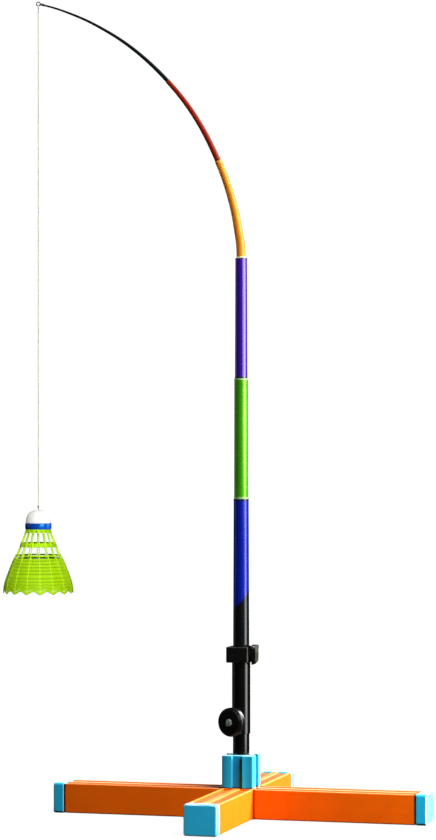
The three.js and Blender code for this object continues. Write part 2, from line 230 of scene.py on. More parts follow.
def lathe(name, profile, segments=64, ripple=None, closed=None):
    """Revolves (radius, z[, weight]) about Z. ripple(angle, radius, z) gives a new radius."""
    profile = [p if len(p) > 2 else (p[0], p[1], 0.0) for p in profile]
    on_axis = [abs(p[0]) < 1e-6 for p in profile]
    closed = not (on_axis[0] or on_axis[-1]) if closed is None else closed
    verts, edge, faces, rows = [], [], [], []
    for (r, z, w), pole in zip(profile, on_axis):
        if pole:
            rows.append([len(verts)])
            verts.append((0, 0, z))
            edge.append(w)
            continue
        row = []
        for k in range(segments):
            a = TAU * k / segments
            q = ripple(a, r, z) if ripple else r
            row.append(len(verts))
            verts.append((q * math.cos(a), q * math.sin(a), z))
            edge.append(w)
        rows.append(row)
    pairs = list(zip(rows, rows[1:]))
    if closed:
        pairs.append((rows[-1], rows[0]))
    for a, b in pairs:
        for k in range(segments):
            j = (k + 1) % segments
            if len(a) == 1 and len(b) == 1:
                continue
            if len(a) == 1:
                faces.append((a[0], b[k], b[j]))
            elif len(b) == 1:
                faces.append((a[k], a[j], b[0]))
            else:
                faces.append((a[k], a[j], b[j], b[k]))
    return mesh_object(name, verts, faces, edge=edge)


def densify(profile, step):
    """Adds points along the straight runs of a profile."""
    out = []
    for p, q in zip(profile, profile[1:]):
        length = math.hypot(q[0] - p[0], q[1] - p[1])
        k = max(1, int(round(length / step)))
        for j in range(k):
            f = j / k
            out.append((p[0] + (q[0] - p[0]) * f, p[1] + (q[1] - p[1]) * f, (p[2] if len(p) > 2 else 0.0) * (1 - f)))
    out.append(profile[-1] if len(profile[-1]) > 2 else (*profile[-1], 0.0))
    return out


def thread(z0, z1, pitch, depth, near):
    """A ripple that cuts a screw thread between z0 and z1 into the radius near."""
    def ripple(a, r, z):
        if abs(r - near) > 0.3 or z < z0 or z > z1:
            return r
        fade = min(1.0, (z - z0) / pitch, (z1 - z) / pitch)
        phase = (z / pitch - a / TAU) % 1.0
        return r - depth * fade * abs(2 * phase - 1)
    return ripple


def sweep(name, path, radius, sides=16, section=None, dome=True, up=None, closed=False):
    """A tube along a list of points. radius is a number or a function of the share of the length; section(angle, length) scales it."""
    path = [Vector(p) for p in path]
    n = len(path)
    lengths = [0.0]
    for a, b in zip(path, path[1:]):
        lengths.append(lengths[-1] + (b - a).length)
    total = lengths[-1]
    tangents = []
    for i in range(n):
        if closed:
            t = path[(i + 1) % n] - path[i - 1]
        else:
            t = path[min(i + 1, n - 1)] - path[max(i - 1, 0)]
        tangents.append(t.normalized())
    side = Vector(up) if up else (Vector((1, 0, 0)) if abs(tangents[0].x) < 0.9 else Vector((0, 1, 0)))
    side = (side - tangents[0] * side.dot(tangents[0])).normalized()
    frames = []
    for i, t in enumerate(tangents):
        if i:
            side = tangents[i - 1].rotation_difference(t) @ side
            side = (side - t * side.dot(t)).normalized()
        frames.append((side.copy(), t.cross(side)))
    slip = 0.0
    if closed:
        s, _ = frames[0]
        e = tangents[-1].rotation_difference(tangents[0]) @ frames[-1][0]
        slip = math.atan2(e.cross(s).dot(tangents[0]), e.dot(s))
    verts, faces, along = [], [], []

    def ring(p, s, u, r, t, length):
        row = []
        for k in range(sides):
            a = TAU * k / sides + slip * (length / total if closed else 0.0)
            q = r * (section(a, length) if section else 1.0)
            row.append(len(verts))
            verts.append(p + s * (q * math.cos(a)) + u * (q * math.sin(a)))
            along.append(length)
        return row

    def r_at(f):
        return radius(f) if callable(radius) else radius

    rows = []
    if dome and not closed:
        for j in range(1, 4):
            w = j / 4 * math.pi / 2
            s, u = frames[0]
            r0 = r_at(0.0)
            rows.append(ring(path[0] - tangents[0] * (0.35 * r0 * (math.cos(w))), s, u, r0 * (0.15 + 0.85 * math.sin(w)), 0, 0.0))
    for i in range(n):
        s, u = frames[i]
        rows.append(ring(path[i], s, u, r_at(lengths[i] / total), 0, lengths[i]))
    if dome and not closed:
        for j in range(3, 0, -1):
            w = j / 4 * math.pi / 2
            s, u = frames[-1]
            r1 = r_at(1.0)
            rows.append(ring(path[-1] + tangents[-1] * (0.35 * r1 * math.cos(w)), s, u, r1 * (0.15 + 0.85 * math.sin(w)), 0, total))
    pairs = list(zip(rows, rows[1:]))
    if closed:
        pairs.append((rows[-1], rows[0]))
    for a, b in pairs:
        for k in range(sides):
            j = (k + 1) % sides
            faces.append((a[k], a[j], b[j], b[k]))
    if not closed:
        faces.append(tuple(reversed(rows[0])))
        faces.append(tuple(rows[-1]))
    return mesh_object(name, verts, faces, along=along)


def apply_modifiers(ob):
    graph = bpy.context.evaluated_depsgraph_get()
    me = bpy.data.meshes.new_from_object(ob.evaluated_get(graph), preserve_all_data_layers=True, depsgraph=graph)
    old = ob.data
    ob.modifiers.clear()
    ob.data = me
    me.name = ob.name
    bpy.data.meshes.remove(old)
    return ob


def combine(ob, *tools, how="DIFFERENCE"):
    for t in tools:
        m = ob.modifiers.new("cut", "BOOLEAN")
        m.operation = how
        m.solver = "MANIFOLD"
        m.object = t
        before = len(ob.data.polygons)
        apply_modifiers(ob)
        if not len(ob.data.polygons):
            raise RuntimeError(f"{ob.name}: {how} with {t.name} left nothing of {before} faces")
        me = t.data
        bpy.data.objects.remove(t)
        bpy.data.meshes.remove(me)
    return ob


def cut(ob, *tools):
    return combine(ob, *tools)


def join(ob, *tools):
    return combine(ob, *tools, how="UNION")


def box_tool(x0, x1, y0, y1, z0, z1, r=0.0, bevel=0.0):
    pts = [(x0, y0), (x1, y0), (x1, y1), (x0, y1)]
    return prism("tool", fillet(pts, r, steps=3) if r else pts, z0, z1, bevel)


def rod_tool(r, z0, z1, x=0.0, y=0.0, segments=40):
    ob = lathe("tool", [(0, z0), (r, z0), (r, z1), (0, z1)], segments)
    return move(ob, shifted(x, y, 0))


REPORT = []


def finish_piece(ob, name, body, material, nodes=(), sharp=38, weighted=True):
    ob.name = name
    ob.data.name = name
    me = ob.data
    me.materials.clear()
    me.materials.append(material)
    tidy(ob, 2e-7)
    me = ob.data
    for p in me.polygons:
        p.use_smooth = True
        p.material_index = 0
    me.set_sharp_from_angle(angle=math.radians(sharp))
    bm = bmesh.new()
    bm.from_mesh(me)
    loose = sum(1 for v in bm.verts if not v.link_faces)
    opened = sum(1 for e in bm.edges if len(e.link_faces) != 2)
    bm.free()
    REPORT.append((name, len(me.polygons), opened, loose))
    if weighted:
        m = ob.modifiers.new("normals", "WEIGHTED_NORMAL")
        m.weight = 100
        m.keep_sharp = True
        apply_modifiers(ob)
    if body:
        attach(ob, body)
    if nodes:
        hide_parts(*nodes)
    return ob


# ------------------------------------------------------------------ material helpers
class Tree:
    def __init__(self, name):
        self.material = bpy.data.materials.new(name)
        self.material.use_nodes = True
        self.nt = self.material.node_tree
        self.nt.nodes.clear()
        self.out = self.nt.nodes.new("ShaderNodeOutputMaterial")
        self.bsdf = self.nt.nodes.new("ShaderNodeBsdfPrincipled")
        self.nt.links.new(self.bsdf.outputs[0], self.out.inputs[0])
        self.object = self.node("ShaderNodeTexCoord").outputs["Object"]

    def node(self, kind, inputs=None, **properties):
        n = self.nt.nodes.new(kind)
        for k, v in properties.items():
            setattr(n, k, v)
        for k, v in (inputs or {}).items():
            self.set(n.inputs[k], v)
        return n

    def set(self, socket, value):
        if isinstance(value, bpy.types.NodeSocket):
            self.nt.links.new(value, socket)
        elif isinstance(value, (tuple, list)) and len(value) == 3 and len(getattr(socket, "default_value", ())) == 4:
            socket.default_value = (*value, 1.0)
        else:
            socket.default_value = value

    def math(self, op, a, b=0.0, c=0.0, clamp=False):
        n = self.node("ShaderNodeMath", operation=op, use_clamp=clamp)
        self.set(n.inputs[0], a)
        self.set(n.inputs[1], b)
        if len(n.inputs) > 2:
            self.set(n.inputs[2], c)
        return n.outputs[0]

    def mix(self, f, a, b, blend="MIX"):
        n = self.node("ShaderNodeMix", data_type="RGBA", blend_type=blend)
        self.set(n.inputs[0], f)
        self.set(n.inputs[6], a)
        self.set(n.inputs[7], b)
        return n.outputs[2]

    def noise(self, scale, detail=2.0, rough=0.5, vector=None, distortion=0.0):
        n = self.node("ShaderNodeTexNoise", {"Scale": scale, "Detail": detail, "Roughness": rough, "Distortion": distortion, "Vector": vector or self.object})
        return n.outputs["Fac"]

    def stretch(self, scale):
        return self.node("ShaderNodeMapping", {"Vector": self.object, "Scale": scale}).outputs[0]

    def range(self, value, a, b, c, d, smooth=False):
        n = self.node("ShaderNodeMapRange", {"Value": value, "From Min": a, "From Max": b, "To Min": c, "To Max": d})
        if smooth:
            n.interpolation_type = "SMOOTHSTEP"
        return n.outputs[0]

    def attribute(self, name):
        return self.node("ShaderNodeAttribute", attribute_name=name).outputs["Fac"]

    def bump(self, height, strength, distance, normal=None):
        inputs = {"Height": height, "Strength": strength, "Distance": distance}
        if normal is not None:
            inputs["Normal"] = normal
        return self.node("ShaderNodeBump", inputs).outputs[0]

    def wave(self, scale, direction="Z", distortion=0.0, profile="SIN", vector=None, kind="BANDS"):
        n = self.node("ShaderNodeTexWave", {"Scale": scale, "Distortion": distortion, "Detail": 1.0, "Detail Scale": 2.0, "Vector": vector or self.object}, wave_type=kind, wave_profile=profile)
        if kind == "BANDS":
            n.bands_direction = direction
        return n.outputs["Fac"]

    def done(self, color, roughness, normal=None, **constants):
        self.set(self.bsdf.inputs["Base Color"], color)
        self.set(self.bsdf.inputs["Roughness"], roughness)
        if normal is not None:
            self.set(self.bsdf.inputs["Normal"], normal)
        names = {
            "metallic": "Metallic", "ior": "IOR", "specular": "Specular IOR Level", "tint": "Specular Tint", "coat": "Coat Weight", "coat_roughness": "Coat Roughness",
            "sheen": "Sheen Weight", "sheen_roughness": "Sheen Roughness", "sheen_tint": "Sheen Tint", "subsurface": "Subsurface Weight", "subsurface_scale": "Subsurface Scale",
            "subsurface_radius": "Subsurface Radius", "anisotropic": "Anisotropic", "emission": "Emission Color", "emission_strength": "Emission Strength",
        }
        for k, v in constants.items():
            self.set(self.bsdf.inputs[names[k]], v)
        return self.material


def shade(c, f):
    return tuple(max(0.0, min(1.0, x * f)) for x in c)


def toward(c, d, f):
    return tuple(x + (y - x) * f for x, y in zip(c, d))


def lacquer(name, base, rough, lines=None, peel=0.08, coat=0.25, edge_tone=None, edge_tone_amount=0.35, specular=0.5, variation=0.10, extra=None, **constants):
    """Paint or moulded plastic: slow colour drift, fine grain, a set tone along rounded edges (scuffs on most parts,
    partly a painted highlight on the blue caps and hub) and long draw lines.
    """
    t = Tree(name)
    slow = t.noise(7.0, 3.0, 0.55)
    mid = t.noise(70.0, 3.0, 0.6)
    fine = t.noise(1500.0, 2.0, 0.6)
    color = t.mix(t.range(slow, 0.3, 0.7, 0.0, 1.0), shade(base, 1 - variation), shade(base, 1 + variation))
    color = t.mix(t.range(mid, 0.45, 0.75, 0.0, 0.35), color, shade(base, 0.82))
    edge = t.attribute("edge")
    edge_mask = t.math("MULTIPLY", edge, t.range(mid, 0.38, 0.62, 0.15, 1.0))
    color = t.mix(t.math("MULTIPLY", edge_mask, edge_tone_amount), color, edge_tone or toward(base, (1, 1, 1), 0.35))
    if extra:
        color = extra(t, color)
    height = t.math("MULTIPLY", fine, 1.0)
    normal = None
    if lines:
        streak = t.noise(1.0, 2.0, 0.6, vector=t.stretch(lines))
        color = t.mix(t.range(streak, 0.35, 0.65, 0.0, 0.16), color, shade(base, 0.8))
        normal = t.bump(streak, 0.12, 0.0002)
    normal = t.bump(height, peel, 0.00015, normal)
    roughness = t.math("ADD", t.range(mid, 0.3, 0.7, rough - 0.04, rough + 0.06), t.math("MULTIPLY", edge_mask, 0.12))
    return t.done(color, roughness, normal, coat=coat, coat_roughness=0.12, specular=specular, **constants)


ORANGE = (0.84, 0.118, 0.001)
BLUE = (0.010, 0.42, 0.69)

M = {}


def painted_arm_shading(axis, begins, amount, ridge, ridge_amount, floor, floor_amount, root):
    """Painted shade in the rebate where a cap meets its arm, a painted highlight on the ridge tops, painted shade on
    the channel floors and their slopes, and a painted dark crease at the root.
    """
    def extra(t, color):
        xyz = t.node("ShaderNodeSeparateXYZ", {"Vector": t.object}).outputs
        across = t.math("ABSOLUTE", xyz[1 - axis])
        low = t.math("MULTIPLY", t.range(xyz[2], 0.0340, 0.0345, 0.0, 1.0), t.range(xyz[2], 0.0364, 0.0374, 1.0, 0.0))
        inside = t.math("MULTIPLY", low, t.range(across, 0.0166, 0.0173, 1.0, 0.0))
        # painted shade on the channel floors
        color = t.mix(t.math("MULTIPLY", inside, floor_amount), color, floor)
        slope = t.math("MAXIMUM", t.range(across, 0.0155, 0.0160, 0.0, 1.0), t.range(across, 0.0049, 0.0054, 1.0, 0.0))
        # painted shade on the channel slopes
        color = t.mix(t.math("MULTIPLY", t.math("MULTIPLY", inside, slope), 0.45), color, (0.14, 0.055, 0.006))
        # painted highlight on the ridge tops
        color = t.mix(t.math("MULTIPLY", t.range(xyz[2], 0.0371, 0.0376, 0.0, 1.0), ridge_amount), color, ridge)
        # painted shade in the crease at the root of the arm
        if root:
            color = t.mix(t.math("MULTIPLY", t.range(t.math("ABSOLUTE", xyz[axis]), 0.0225, 0.0240, 1.0, 0.0), root), color, (0.26, 0.006, 0.0))
        # painted shade in the rebate where the cap meets the arm
        f = t.range(t.math("ABSOLUTE", xyz[axis]), begins - 0.0003, begins + 0.0003, 0.0, 1.0)
        return t.mix(t.math("MULTIPLY", f, amount), color, (0.030, 0.022, 0.004))
    return extra


# the side arms and the front and rear arms take differently toned copies of the same orange (more green on the side
# arms); the copies are painted to suit how light falls on each arm
M["arm_x"] = lacquer("orange_box_section_x", (ORANGE[0], ORANGE[1] * 1.02, ORANGE[2]), 0.34, lines=(6.0, 900.0, 900.0), edge_tone=(0.95, 0.45, 0.16), specular=0.08, coat=0.0, sheen=0.16, sheen_roughness=0.35, extra=painted_arm_shading(0, 0.2245, 0.92, (0.80, 0.40, 0.16), 0.55, (0.36, 0.10, 0.02), 0.6, 0.85))
M["arm_y"] = lacquer("orange_box_section_y", (ORANGE[0], ORANGE[1] * 0.86, 0.003), 0.34, lines=(900.0, 6.0, 900.0), edge_tone=(0.95, 0.45, 0.16), specular=0.04, coat=0.0, sheen=0.02, sheen_roughness=0.35, extra=painted_arm_shading(1, 0.1720, 0.5, (0.74, 0.30, 0.05), 0.55, (0.26, 0.085, 0.004), 0.9, 0.0))
M["core"] = lacquer("orange_core", shade(ORANGE, 0.92), 0.42, edge_tone=(0.9, 0.4, 0.14), coat=0.1)
# the pale, nearly white edge tone on the caps is partly edge wear and partly a painted highlight along the lit rounded
# edges
M["blue"] = lacquer("blue_moulded", BLUE, 0.40, peel=0.16, coat=0.0, edge_tone=(0.70, 0.95, 0.95), edge_tone_amount=0.75, specular=0.3, sheen=0.6, sheen_roughness=0.35)


def painted_hub_shading(t, color):
    """Painted shade down in the long channels of the hub, a painted shadow along their bottoms, and painted shade on
    the top face.
    """
    xyz = t.node("ShaderNodeSeparateXYZ", {"Vector": t.object}).outputs
    reach = t.math("MAXIMUM", t.math("ABSOLUTE", xyz[0]), t.math("ABSOLUTE", xyz[1]))
    deep = t.math("MULTIPLY", t.range(reach, 0.0199, 0.0207, 1.0, 0.0), t.range(xyz[2], 0.0776, 0.0784, 1.0, 0.0))
    # painted shade down in the channels
    color = t.mix(t.math("MULTIPLY", deep, 0.80), color, (0.001, 0.14, 0.30))
    # painted shadow along the channel bottoms, next to the arms
    color = t.mix(t.math("MULTIPLY", t.math("MULTIPLY", deep, t.range(xyz[2], 0.0386, 0.0400, 1.0, 0.0)), 0.9), color, (0.004, 0.008, 0.012))
    # painted shade on the top face
    return t.mix(t.range(xyz[2], 0.0779, 0.0786, 0.0, 0.55), color, (0.02, 0.20, 0.33))


# the hub takes a lighter copy of the caps' blue, painted to suit how light falls on it; its pale edge tone is partly
# edge wear and partly a painted highlight
M["hub"] = lacquer("blue_moulded_hub", shade(BLUE, 1.25), 0.40, peel=0.16, coat=0.0, edge_tone=(0.40, 0.85, 0.90), edge_tone_amount=0.3, specular=0.2, sheen=0.5, sheen_roughness=0.35, extra=painted_hub_shading)
M["black_paint"] = lacquer("black_paint", (0.0026, 0.0028, 0.0022), 0.12, lines=(700.0, 700.0, 5.0), peel=0.04, coat=0.0, specular=0.36, edge_tone=(0.09, 0.088, 0.082), edge_tone_amount=0.5, variation=0.2)
M["black_plastic"] = lacquer("black_plastic", (0.0030, 0.0034, 0.0028), 0.28, peel=0.26, coat=0.0, edge_tone=(0.10, 0.10, 0.10), edge_tone_amount=0.35, variation=0.2, specular=0.3)
M["knob"] = lacquer("knob_plastic", (0.0024, 0.0028, 0.0030), 0.22, peel=0.10, coat=0.0, edge_tone=(0.05, 0.05, 0.05), edge_tone_amount=0.3, variation=0.2, specular=0.30)
M["pad"] = lacquer("pad_nylon", (0.62, 0.57, 0.46), 0.55, peel=0.3, coat=0.0, edge_tone=(0.75, 0.72, 0.62))


def plated(name, base, rough, lines=(900.0, 900.0, 12.0), edge_tone=(0.9, 0.9, 0.88), metallic=1.0):
    t = Tree(name)
    slow = t.noise(160.0, 3.0, 0.6)
    streak = t.noise(1.0, 2.0, 0.7, vector=t.stretch(lines))
    color = t.mix(t.range(slow, 0.3, 0.7, 0.0, 1.0), shade(base, 0.82), shade(base, 1.08))
    color = t.mix(t.math("MULTIPLY", t.attribute("edge"), 0.5), color, edge_tone)
    spots = t.range(t.noise(700.0, 3.0, 0.7), 0.62, 0.75, 0.0, 0.5)
    color = t.mix(spots, color, shade(base, 0.55))
    normal = t.bump(streak, 0.15, 0.0001)
    normal = t.bump(t.noise(2600.0, 2.0), 0.08, 0.0001, normal)
    return t.done(color, t.range(streak, 0.3, 0.7, rough - 0.05, rough + 0.1), normal, metallic=metallic, anisotropic=0.35)


M["zinc"] = plated("zinc_plate", (0.66, 0.66, 0.63), 0.28)
M["screw_head"] = plated("screw_head", (0.21, 0.31, 0.26), 0.45, edge_tone=(0.7, 0.72, 0.68), metallic=0.25)
M["ring"] = plated("dark_wire", (0.085, 0.085, 0.078), 0.36)
M["shoe"] = lacquer("shoe_grey", (0.24, 0.24, 0.225), 0.5, peel=0.3, coat=0.0, edge_tone=(0.4, 0.4, 0.38))


def rod_finish(name, base, glow, tint, rings=(), attribute=None, rough=0.16, wrap=190.0, second=None, specular=1.0, wound=1.0, **constants):
    """Lacquered wound rod: fine wrap lines under a clear coat. rings are (start, end, colour) in metres along Z, or along the attribute."""
    t = Tree(name)
    height = t.attribute(attribute) if attribute else t.node("ShaderNodeSeparateXYZ", {"Vector": t.object}).outputs[2]
    if attribute:
        height = t.math("MULTIPLY", height, MM)
        lines = t.math("SINE", t.math("MULTIPLY", height, wrap * 20.0))
        lines = t.range(lines, -1.0, 1.0, 0.0, 1.0)
    else:
        lines = t.wave(wrap, "Z", distortion=0.6, vector=t.stretch((1.0, 1.0, 1.0)))
    flake = t.noise(2400.0, 2.0, 0.7)
    slow = t.noise(12.0, 3.0, 0.5)
    color = t.mix(t.range(slow, 0.3, 0.7, 0.0, 1.0), shade(base, 0.88), shade(base, 1.12))
    color = t.mix(t.range(lines, 0.0, 1.0, 0.0, 0.14 * wound), color, glow)
    color = t.mix(t.range(flake, 0.55, 0.8, 0.0, 0.16 * wound), color, glow)
    if second:
        color = second(t, color)
    for start, end, tone in rings:
        f = t.math("MULTIPLY", t.range(height, start - 0.0001, start + 0.0001, 0.0, 1.0), t.range(height, end - 0.0001, end + 0.0001, 1.0, 0.0))
        color = t.mix(f, color, tone)
    edge_tone = t.math("MULTIPLY", t.attribute("edge"), t.range(slow, 0.3, 0.7, 0.2, 0.6))
    color = t.mix(edge_tone, color, toward(base, (0.8, 0.8, 0.8), 0.3))
    normal = t.bump(lines, 0.012 * wound, 0.00006)
    normal = t.bump(t.noise(60.0, 2.0), 0.004, 0.0003, normal)
    return t.done(color, t.range(flake, 0.3, 0.7, rough, rough + 0.06), normal, specular=specular, tint=(*tint, 1.0), coat=0.05, coat_roughness=0.1, **constants)


# ------------------------------------------------------------------ base: core, arms, caps, screws
ARM_HALF, ARM_LOW, ARM_TOP, WALL, CHANNEL = 20.4, 0.4, 37.8, 2.2, 1.9
STUB, SIDE_REACH, FRONT_REACH = 30, 240.5, 188.0
CAP_DEPTH, CAP_HALF, CAP_TOP = 13.4, 20.9, 38.3
HUB_SCREW_AT, ARM_SCREW_AT = 12.5, 38

core = prism("core", fillet([(-20.4, -20.4), (20.4, -20.4), (20.4, 20.4), (-20.4, 20.4)], 1.0, steps=4), 0, 37.9, 0.7)
join(core, box_tool(-50.4, 50.4, -17.9, 17.9, 2.9, 33.4, 1.2, 0.6), box_tool(-17.9, 17.9, -50.4, 50.4, 2.9, 33.4, 1.2, 0.6))
for sx in (1, -1):
    for sy in (1, -1):
        cut(core, rod_tool(4.7, -1, 24, sx * HUB_SCREW_AT, sy * HUB_SCREW_AT), rod_tool(2.3, 20, 45, sx * HUB_SCREW_AT, sy * HUB_SCREW_AT))
for sx, sy in ((1, 0), (-1, 0), (0, 1), (0, -1)):
    cut(core, rod_tool(2.2, 1.9, 19, sx * ARM_SCREW_AT, sy * ARM_SCREW_AT, 24))
finish_piece(core, "core_block", "base", M["core"], ["base_core"])

w = ARM_HALF
half = [
    (w, ARM_LOW, 1.7), (w, ARM_TOP, 1.5), (w - 3.1, ARM_TOP, 0.55), (w - 4.3, ARM_TOP - CHANNEL, 0.6),
    (4.7, ARM_TOP - CHANNEL, 0.6), (3.5, ARM_TOP, 0.55),
]
section = fillet(half + [(-x, z, r) for x, z, r in reversed(half)], steps=5)
half = [
    (w - 0.9, ARM_LOW + 0.9, 0.9), (w - 0.9, ARM_TOP - 0.9, 0.6), (w - 2.4, ARM_TOP - 0.9, 0.3), (w - 3.5, ARM_TOP - CHANNEL - 0.9, 0.3),
    (4.0, ARM_TOP - CHANNEL - 0.9, 0.3), (2.9, ARM_TOP - 0.9, 0.3),
]
neck_section = fillet(half + [(-x, z, r) for x, z, r in reversed(half)], steps=4)
bore = fillet([(-18.2, 2.6), (18.2, 2.6), (18.2, 33.7), (-18.2, 33.7)], 0.8, steps=3)
countersink = [(0, ARM_LOW - 1), (4.6, ARM_LOW - 1), (4.6, ARM_LOW), (2.3, 2.6), (2.3, 3.6), (0, 3.6)]
for side, angle, reach in (("front", 0, FRONT_REACH), ("right", 90, SIDE_REACH), ("rear", 180, FRONT_REACH), ("left", -90, SIDE_REACH)):
    start, end = 20.7, reach - CAP_DEPTH - 0.3
    spin = turned_about_z(angle)
    step = 2.3 if side == "left" else 0.9
    arm = prism("arm", section, -end + step, -start, 0.25, 2, levels=[-end + step + (end - step - start) * k / 12 for k in range(1, 12)])
    join(arm, prism("neck", neck_section, -end, -end + step + 1.0, 0.1, 2))
    move(arm, XZ)
    cut(arm, move(prism("tool", bore, -end - 2, -start + 2), XZ), move(lathe("tool", countersink, 40), shifted(0, -ARM_SCREW_AT, 0)))
    move(arm, spin)
    finish_piece(arm, f"arm_tube_{side}", "base", M["arm_x" if side in ("right", "left") else "arm_y"], [f"arm_{side}"])

    face = fillet([(-CAP_HALF, 0), (CAP_HALF, 0), (CAP_HALF, CAP_TOP), (-CAP_HALF, CAP_TOP)], 3.4, steps=7)
    rings = []
    # the front edge is rounded wider than the one against the arm
    for k in range(7):
        f = k / 6 * math.pi / 2
        rings.append((2.0 * (1 - math.sin(f)), -reach + 2.0 * (1 - math.cos(f)), math.sin(math.pi * k / 6)))
    rings.append((0.0, -reach + 6.5, 0.0))
    for k in range(4, -1, -1):
        f = k / 4 * math.pi / 2
        rings.append((0.8 * (1 - math.sin(f)), -reach + CAP_DEPTH - 0.8 * (1 - math.cos(f)), 0.6 * math.sin(math.pi * k / 4)))
    verts, faces_, edge = [], [], []
    n = len(face)
    # the outer face is flat: inner rings step in towards a middle point, 0.02 mm behind the edge ring, with the crown
    # lift multiplied by zero
    crown = [(0.12, 0.0), (0.45, -0.10), (0.75, -0.16)]
    for scale, lift in reversed(crown):
        for p in inset(face, 2.0):
            verts.append((p[0] * (1 - scale), -reach + 0.02 + lift * 0.0, 19.15 + (p[1] - 19.15) * (1 - scale)))
            edge.append(0.0)
    base_rows = len(crown)
    for d, y, e in rings:
        for p in (inset(face, d) if d > 1e-9 else face):
            verts.append((p[0], y, p[1]))
            edge.append(e)
    rows = base_rows + len(rings)
    for k in range(rows - 1):
        for i in range(n):
            j = (i + 1) % n
            faces_.append((k * n + i, k * n + j, (k + 1) * n + j, (k + 1) * n + i))
    faces_.append(tuple(range(n)))
    faces_.append(tuple((rows - 1) * n + i for i in range(n)))
    cap = mesh_object("cap", verts, faces_, edge=edge)
    plug = move(prism("plug", fillet([(-17.9, 2.9), (17.9, 2.9), (17.9, 33.4), (-17.9, 33.4)], 1.6, steps=4), -reach + CAP_DEPTH - 1, -reach + CAP_DEPTH + 22, 0.8, 3), XZ)
    hollow = move(prism("tool", fillet([(-15.4, 5.4), (15.4, 5.4), (15.4, 30.9), (-15.4, 30.9)], 1.2, steps=4), -reach + CAP_DEPTH - 0.6, -reach + CAP_DEPTH + 24), XZ)
    join(cap, plug)
    cut(cap, hollow)
    for u in (-9, 0, 9):  # shallow grip slots along the plug
        cut(cap, box_tool(u - 1.2, u + 1.2, -reach + CAP_DEPTH + 3, -reach + CAP_DEPTH + 30, 32.9, 36), box_tool(u - 1.2, u + 1.2, -reach + CAP_DEPTH + 3, -reach + CAP_DEPTH + 30, 0, 3.4))
    move(cap, spin)
    finish_piece(cap, f"end_cap_{side}", "base", M["blue"], [f"cap_{side}"])

    profile = densify(fillet([(0, 0.9), (3.9, 0.9, 0.12), (2.0, 2.7), (1.8, 3.6), (1.8, 16.6), (1.1, 18), (0, 18)], closed=False), 0.25)
    screw = lathe("screw", profile, 32, thread(4.0, 16.8, 1.4, 0.42, 1.8))
    for a in (0, 90):
        cut(screw, move(box_tool(-2.0, 2.0, -0.42, 0.42, 0.0, 2.3), turned_about_z(a)))
    move(screw, spin @ shifted(0, -ARM_SCREW_AT, 0))
    finish_piece(screw, f"arm_screw_{side}", "base", M["zinc"], [f"screw_arm_{side}"], sharp=30)

# ------------------------------------------------------------------ hub, its screws, the post and its grub screw
corner = [(17.7, -19.95, 0.9), (19.5, -19.5, 0.6), (19.95, -17.7, 0.9), (20.6, -6.6, 0.7), (17.3, -6.0, 0.5), (17.3, 6.0, 0.5), (20.6, 6.6, 0.7)]
points = []
for k in range(4):
    a = k * math.pi / 2
    for x, y, r in corner:
        points.append((x * math.cos(a) - y * math.sin(a), x * math.sin(a) + y * math.cos(a), r))
hub = prism("hub", fillet(points, steps=5), 38.2, 78.7, 0.75, 4, levels=[47.9, 58.1, 68.2])
cut(hub, move(lathe("tool", fillet([(0, 42), (10.65, 42), (10.65, 77.8), (11.75, 78.95), (11.75, 81), (0, 81)], closed=False), 72), turned_about_z(4.1)))
for sx in (1, -1):
    for sy in (1, -1):
        cut(hub, rod_tool(2.3, 37, 58, sx * HUB_SCREW_AT, sy * HUB_SCREW_AT, 24))
cut(hub, move(rod_tool(2.3, 5, 30), axes((1, 0, 0), (0, 0, 1), (0, 1, 0), (0, 0, 60))))
finish_piece(hub, "hub_column", "base", M["hub"], ["hub_socket"])

n = 0
for sx, sy in ((1, 1), (1, -1), (-1, 1), (-1, -1)):
    n += 1
    profile = densify(fillet([(0, 20), (4.2, 20, 0.5), (4.2, 23.7), (1.9, 23.7, 0.25), (1.9, 54.6), (1.2, 56), (0, 56)], closed=False), 0.3)
    screw = lathe("screw", profile, 28, thread(30.0, 55.0, 1.5, 0.42, 1.9))
    cut(screw, prism("tool", [(1.75 * math.cos(k * math.pi / 3), 1.75 * math.sin(k * math.pi / 3)) for k in range(6)], 18, 22.4))
    move(screw, shifted(sx * HUB_SCREW_AT, sy * HUB_SCREW_AT, 0))
    finish_piece(screw, f"hub_screw_{n}", "base", M["zinc"], [f"screw_hub_{n}"], sharp=30)

post = lathe("post", densify(fillet([(10.3, 42.3, 0.5), (10.3, 140, 0.5), (8.8, 140, 0.4), (8.8, 42.3, 0.4), (10.3, 42.3)][:4]), 8.0), 80)
finish_piece(post, "post_tube", "base", M["black_paint"], ["base_post"])

grub = lathe("grub", densify(fillet([(0, 10.7), (1.2, 10.7), (1.9, 11.4), (1.9, 17.2, 0.2), (0, 17.2)], closed=False), 0.2), 24, thread(11.4, 17.0, 0.9, 0.3, 1.9))
cut(grub, prism("tool", [(1.15 * math.cos(k * math.pi / 3), 1.15 * math.sin(k * math.pi / 3)) for k in range(6)], 15.4, 18))
move(grub, axes((1, 0, 0), (0, 0, -1), (0, 1, 0), (0, 0, 60)))
finish_piece(grub, "grub_screw", "base", M["zinc"], ["post_grub_screw"], sharp=30)

# ------------------------------------------------------------------ outer tube, boss, knob
KNOB_Z, KNOB_ANGLE = 120.7, math.radians(-107.4)
out = Vector((math.cos(KNOB_ANGLE), math.sin(KNOB_ANGLE), 0))
across = Vector((-out.y, out.x, 0))  # to the right, seen from in front
KNOB = axes(across, (0, 0, 1), out, (0, 0, KNOB_Z))

tube = lathe("tube", densify(fillet([(11.45, 105, 0.45), (11.45, 210.7, 0.4), (10.65, 210.7, 0.3), (10.65, 105, 0.3)]), 8.0), 96)
cut(tube, move(rod_tool(3.3, 5, 20), KNOB), box_tool(5, 15, -4.3, 4.3, 203.7, 214, 0.0))
finish_piece(tube, "sliding_tube", "mast", M["black_paint"], ["outer_tube"])

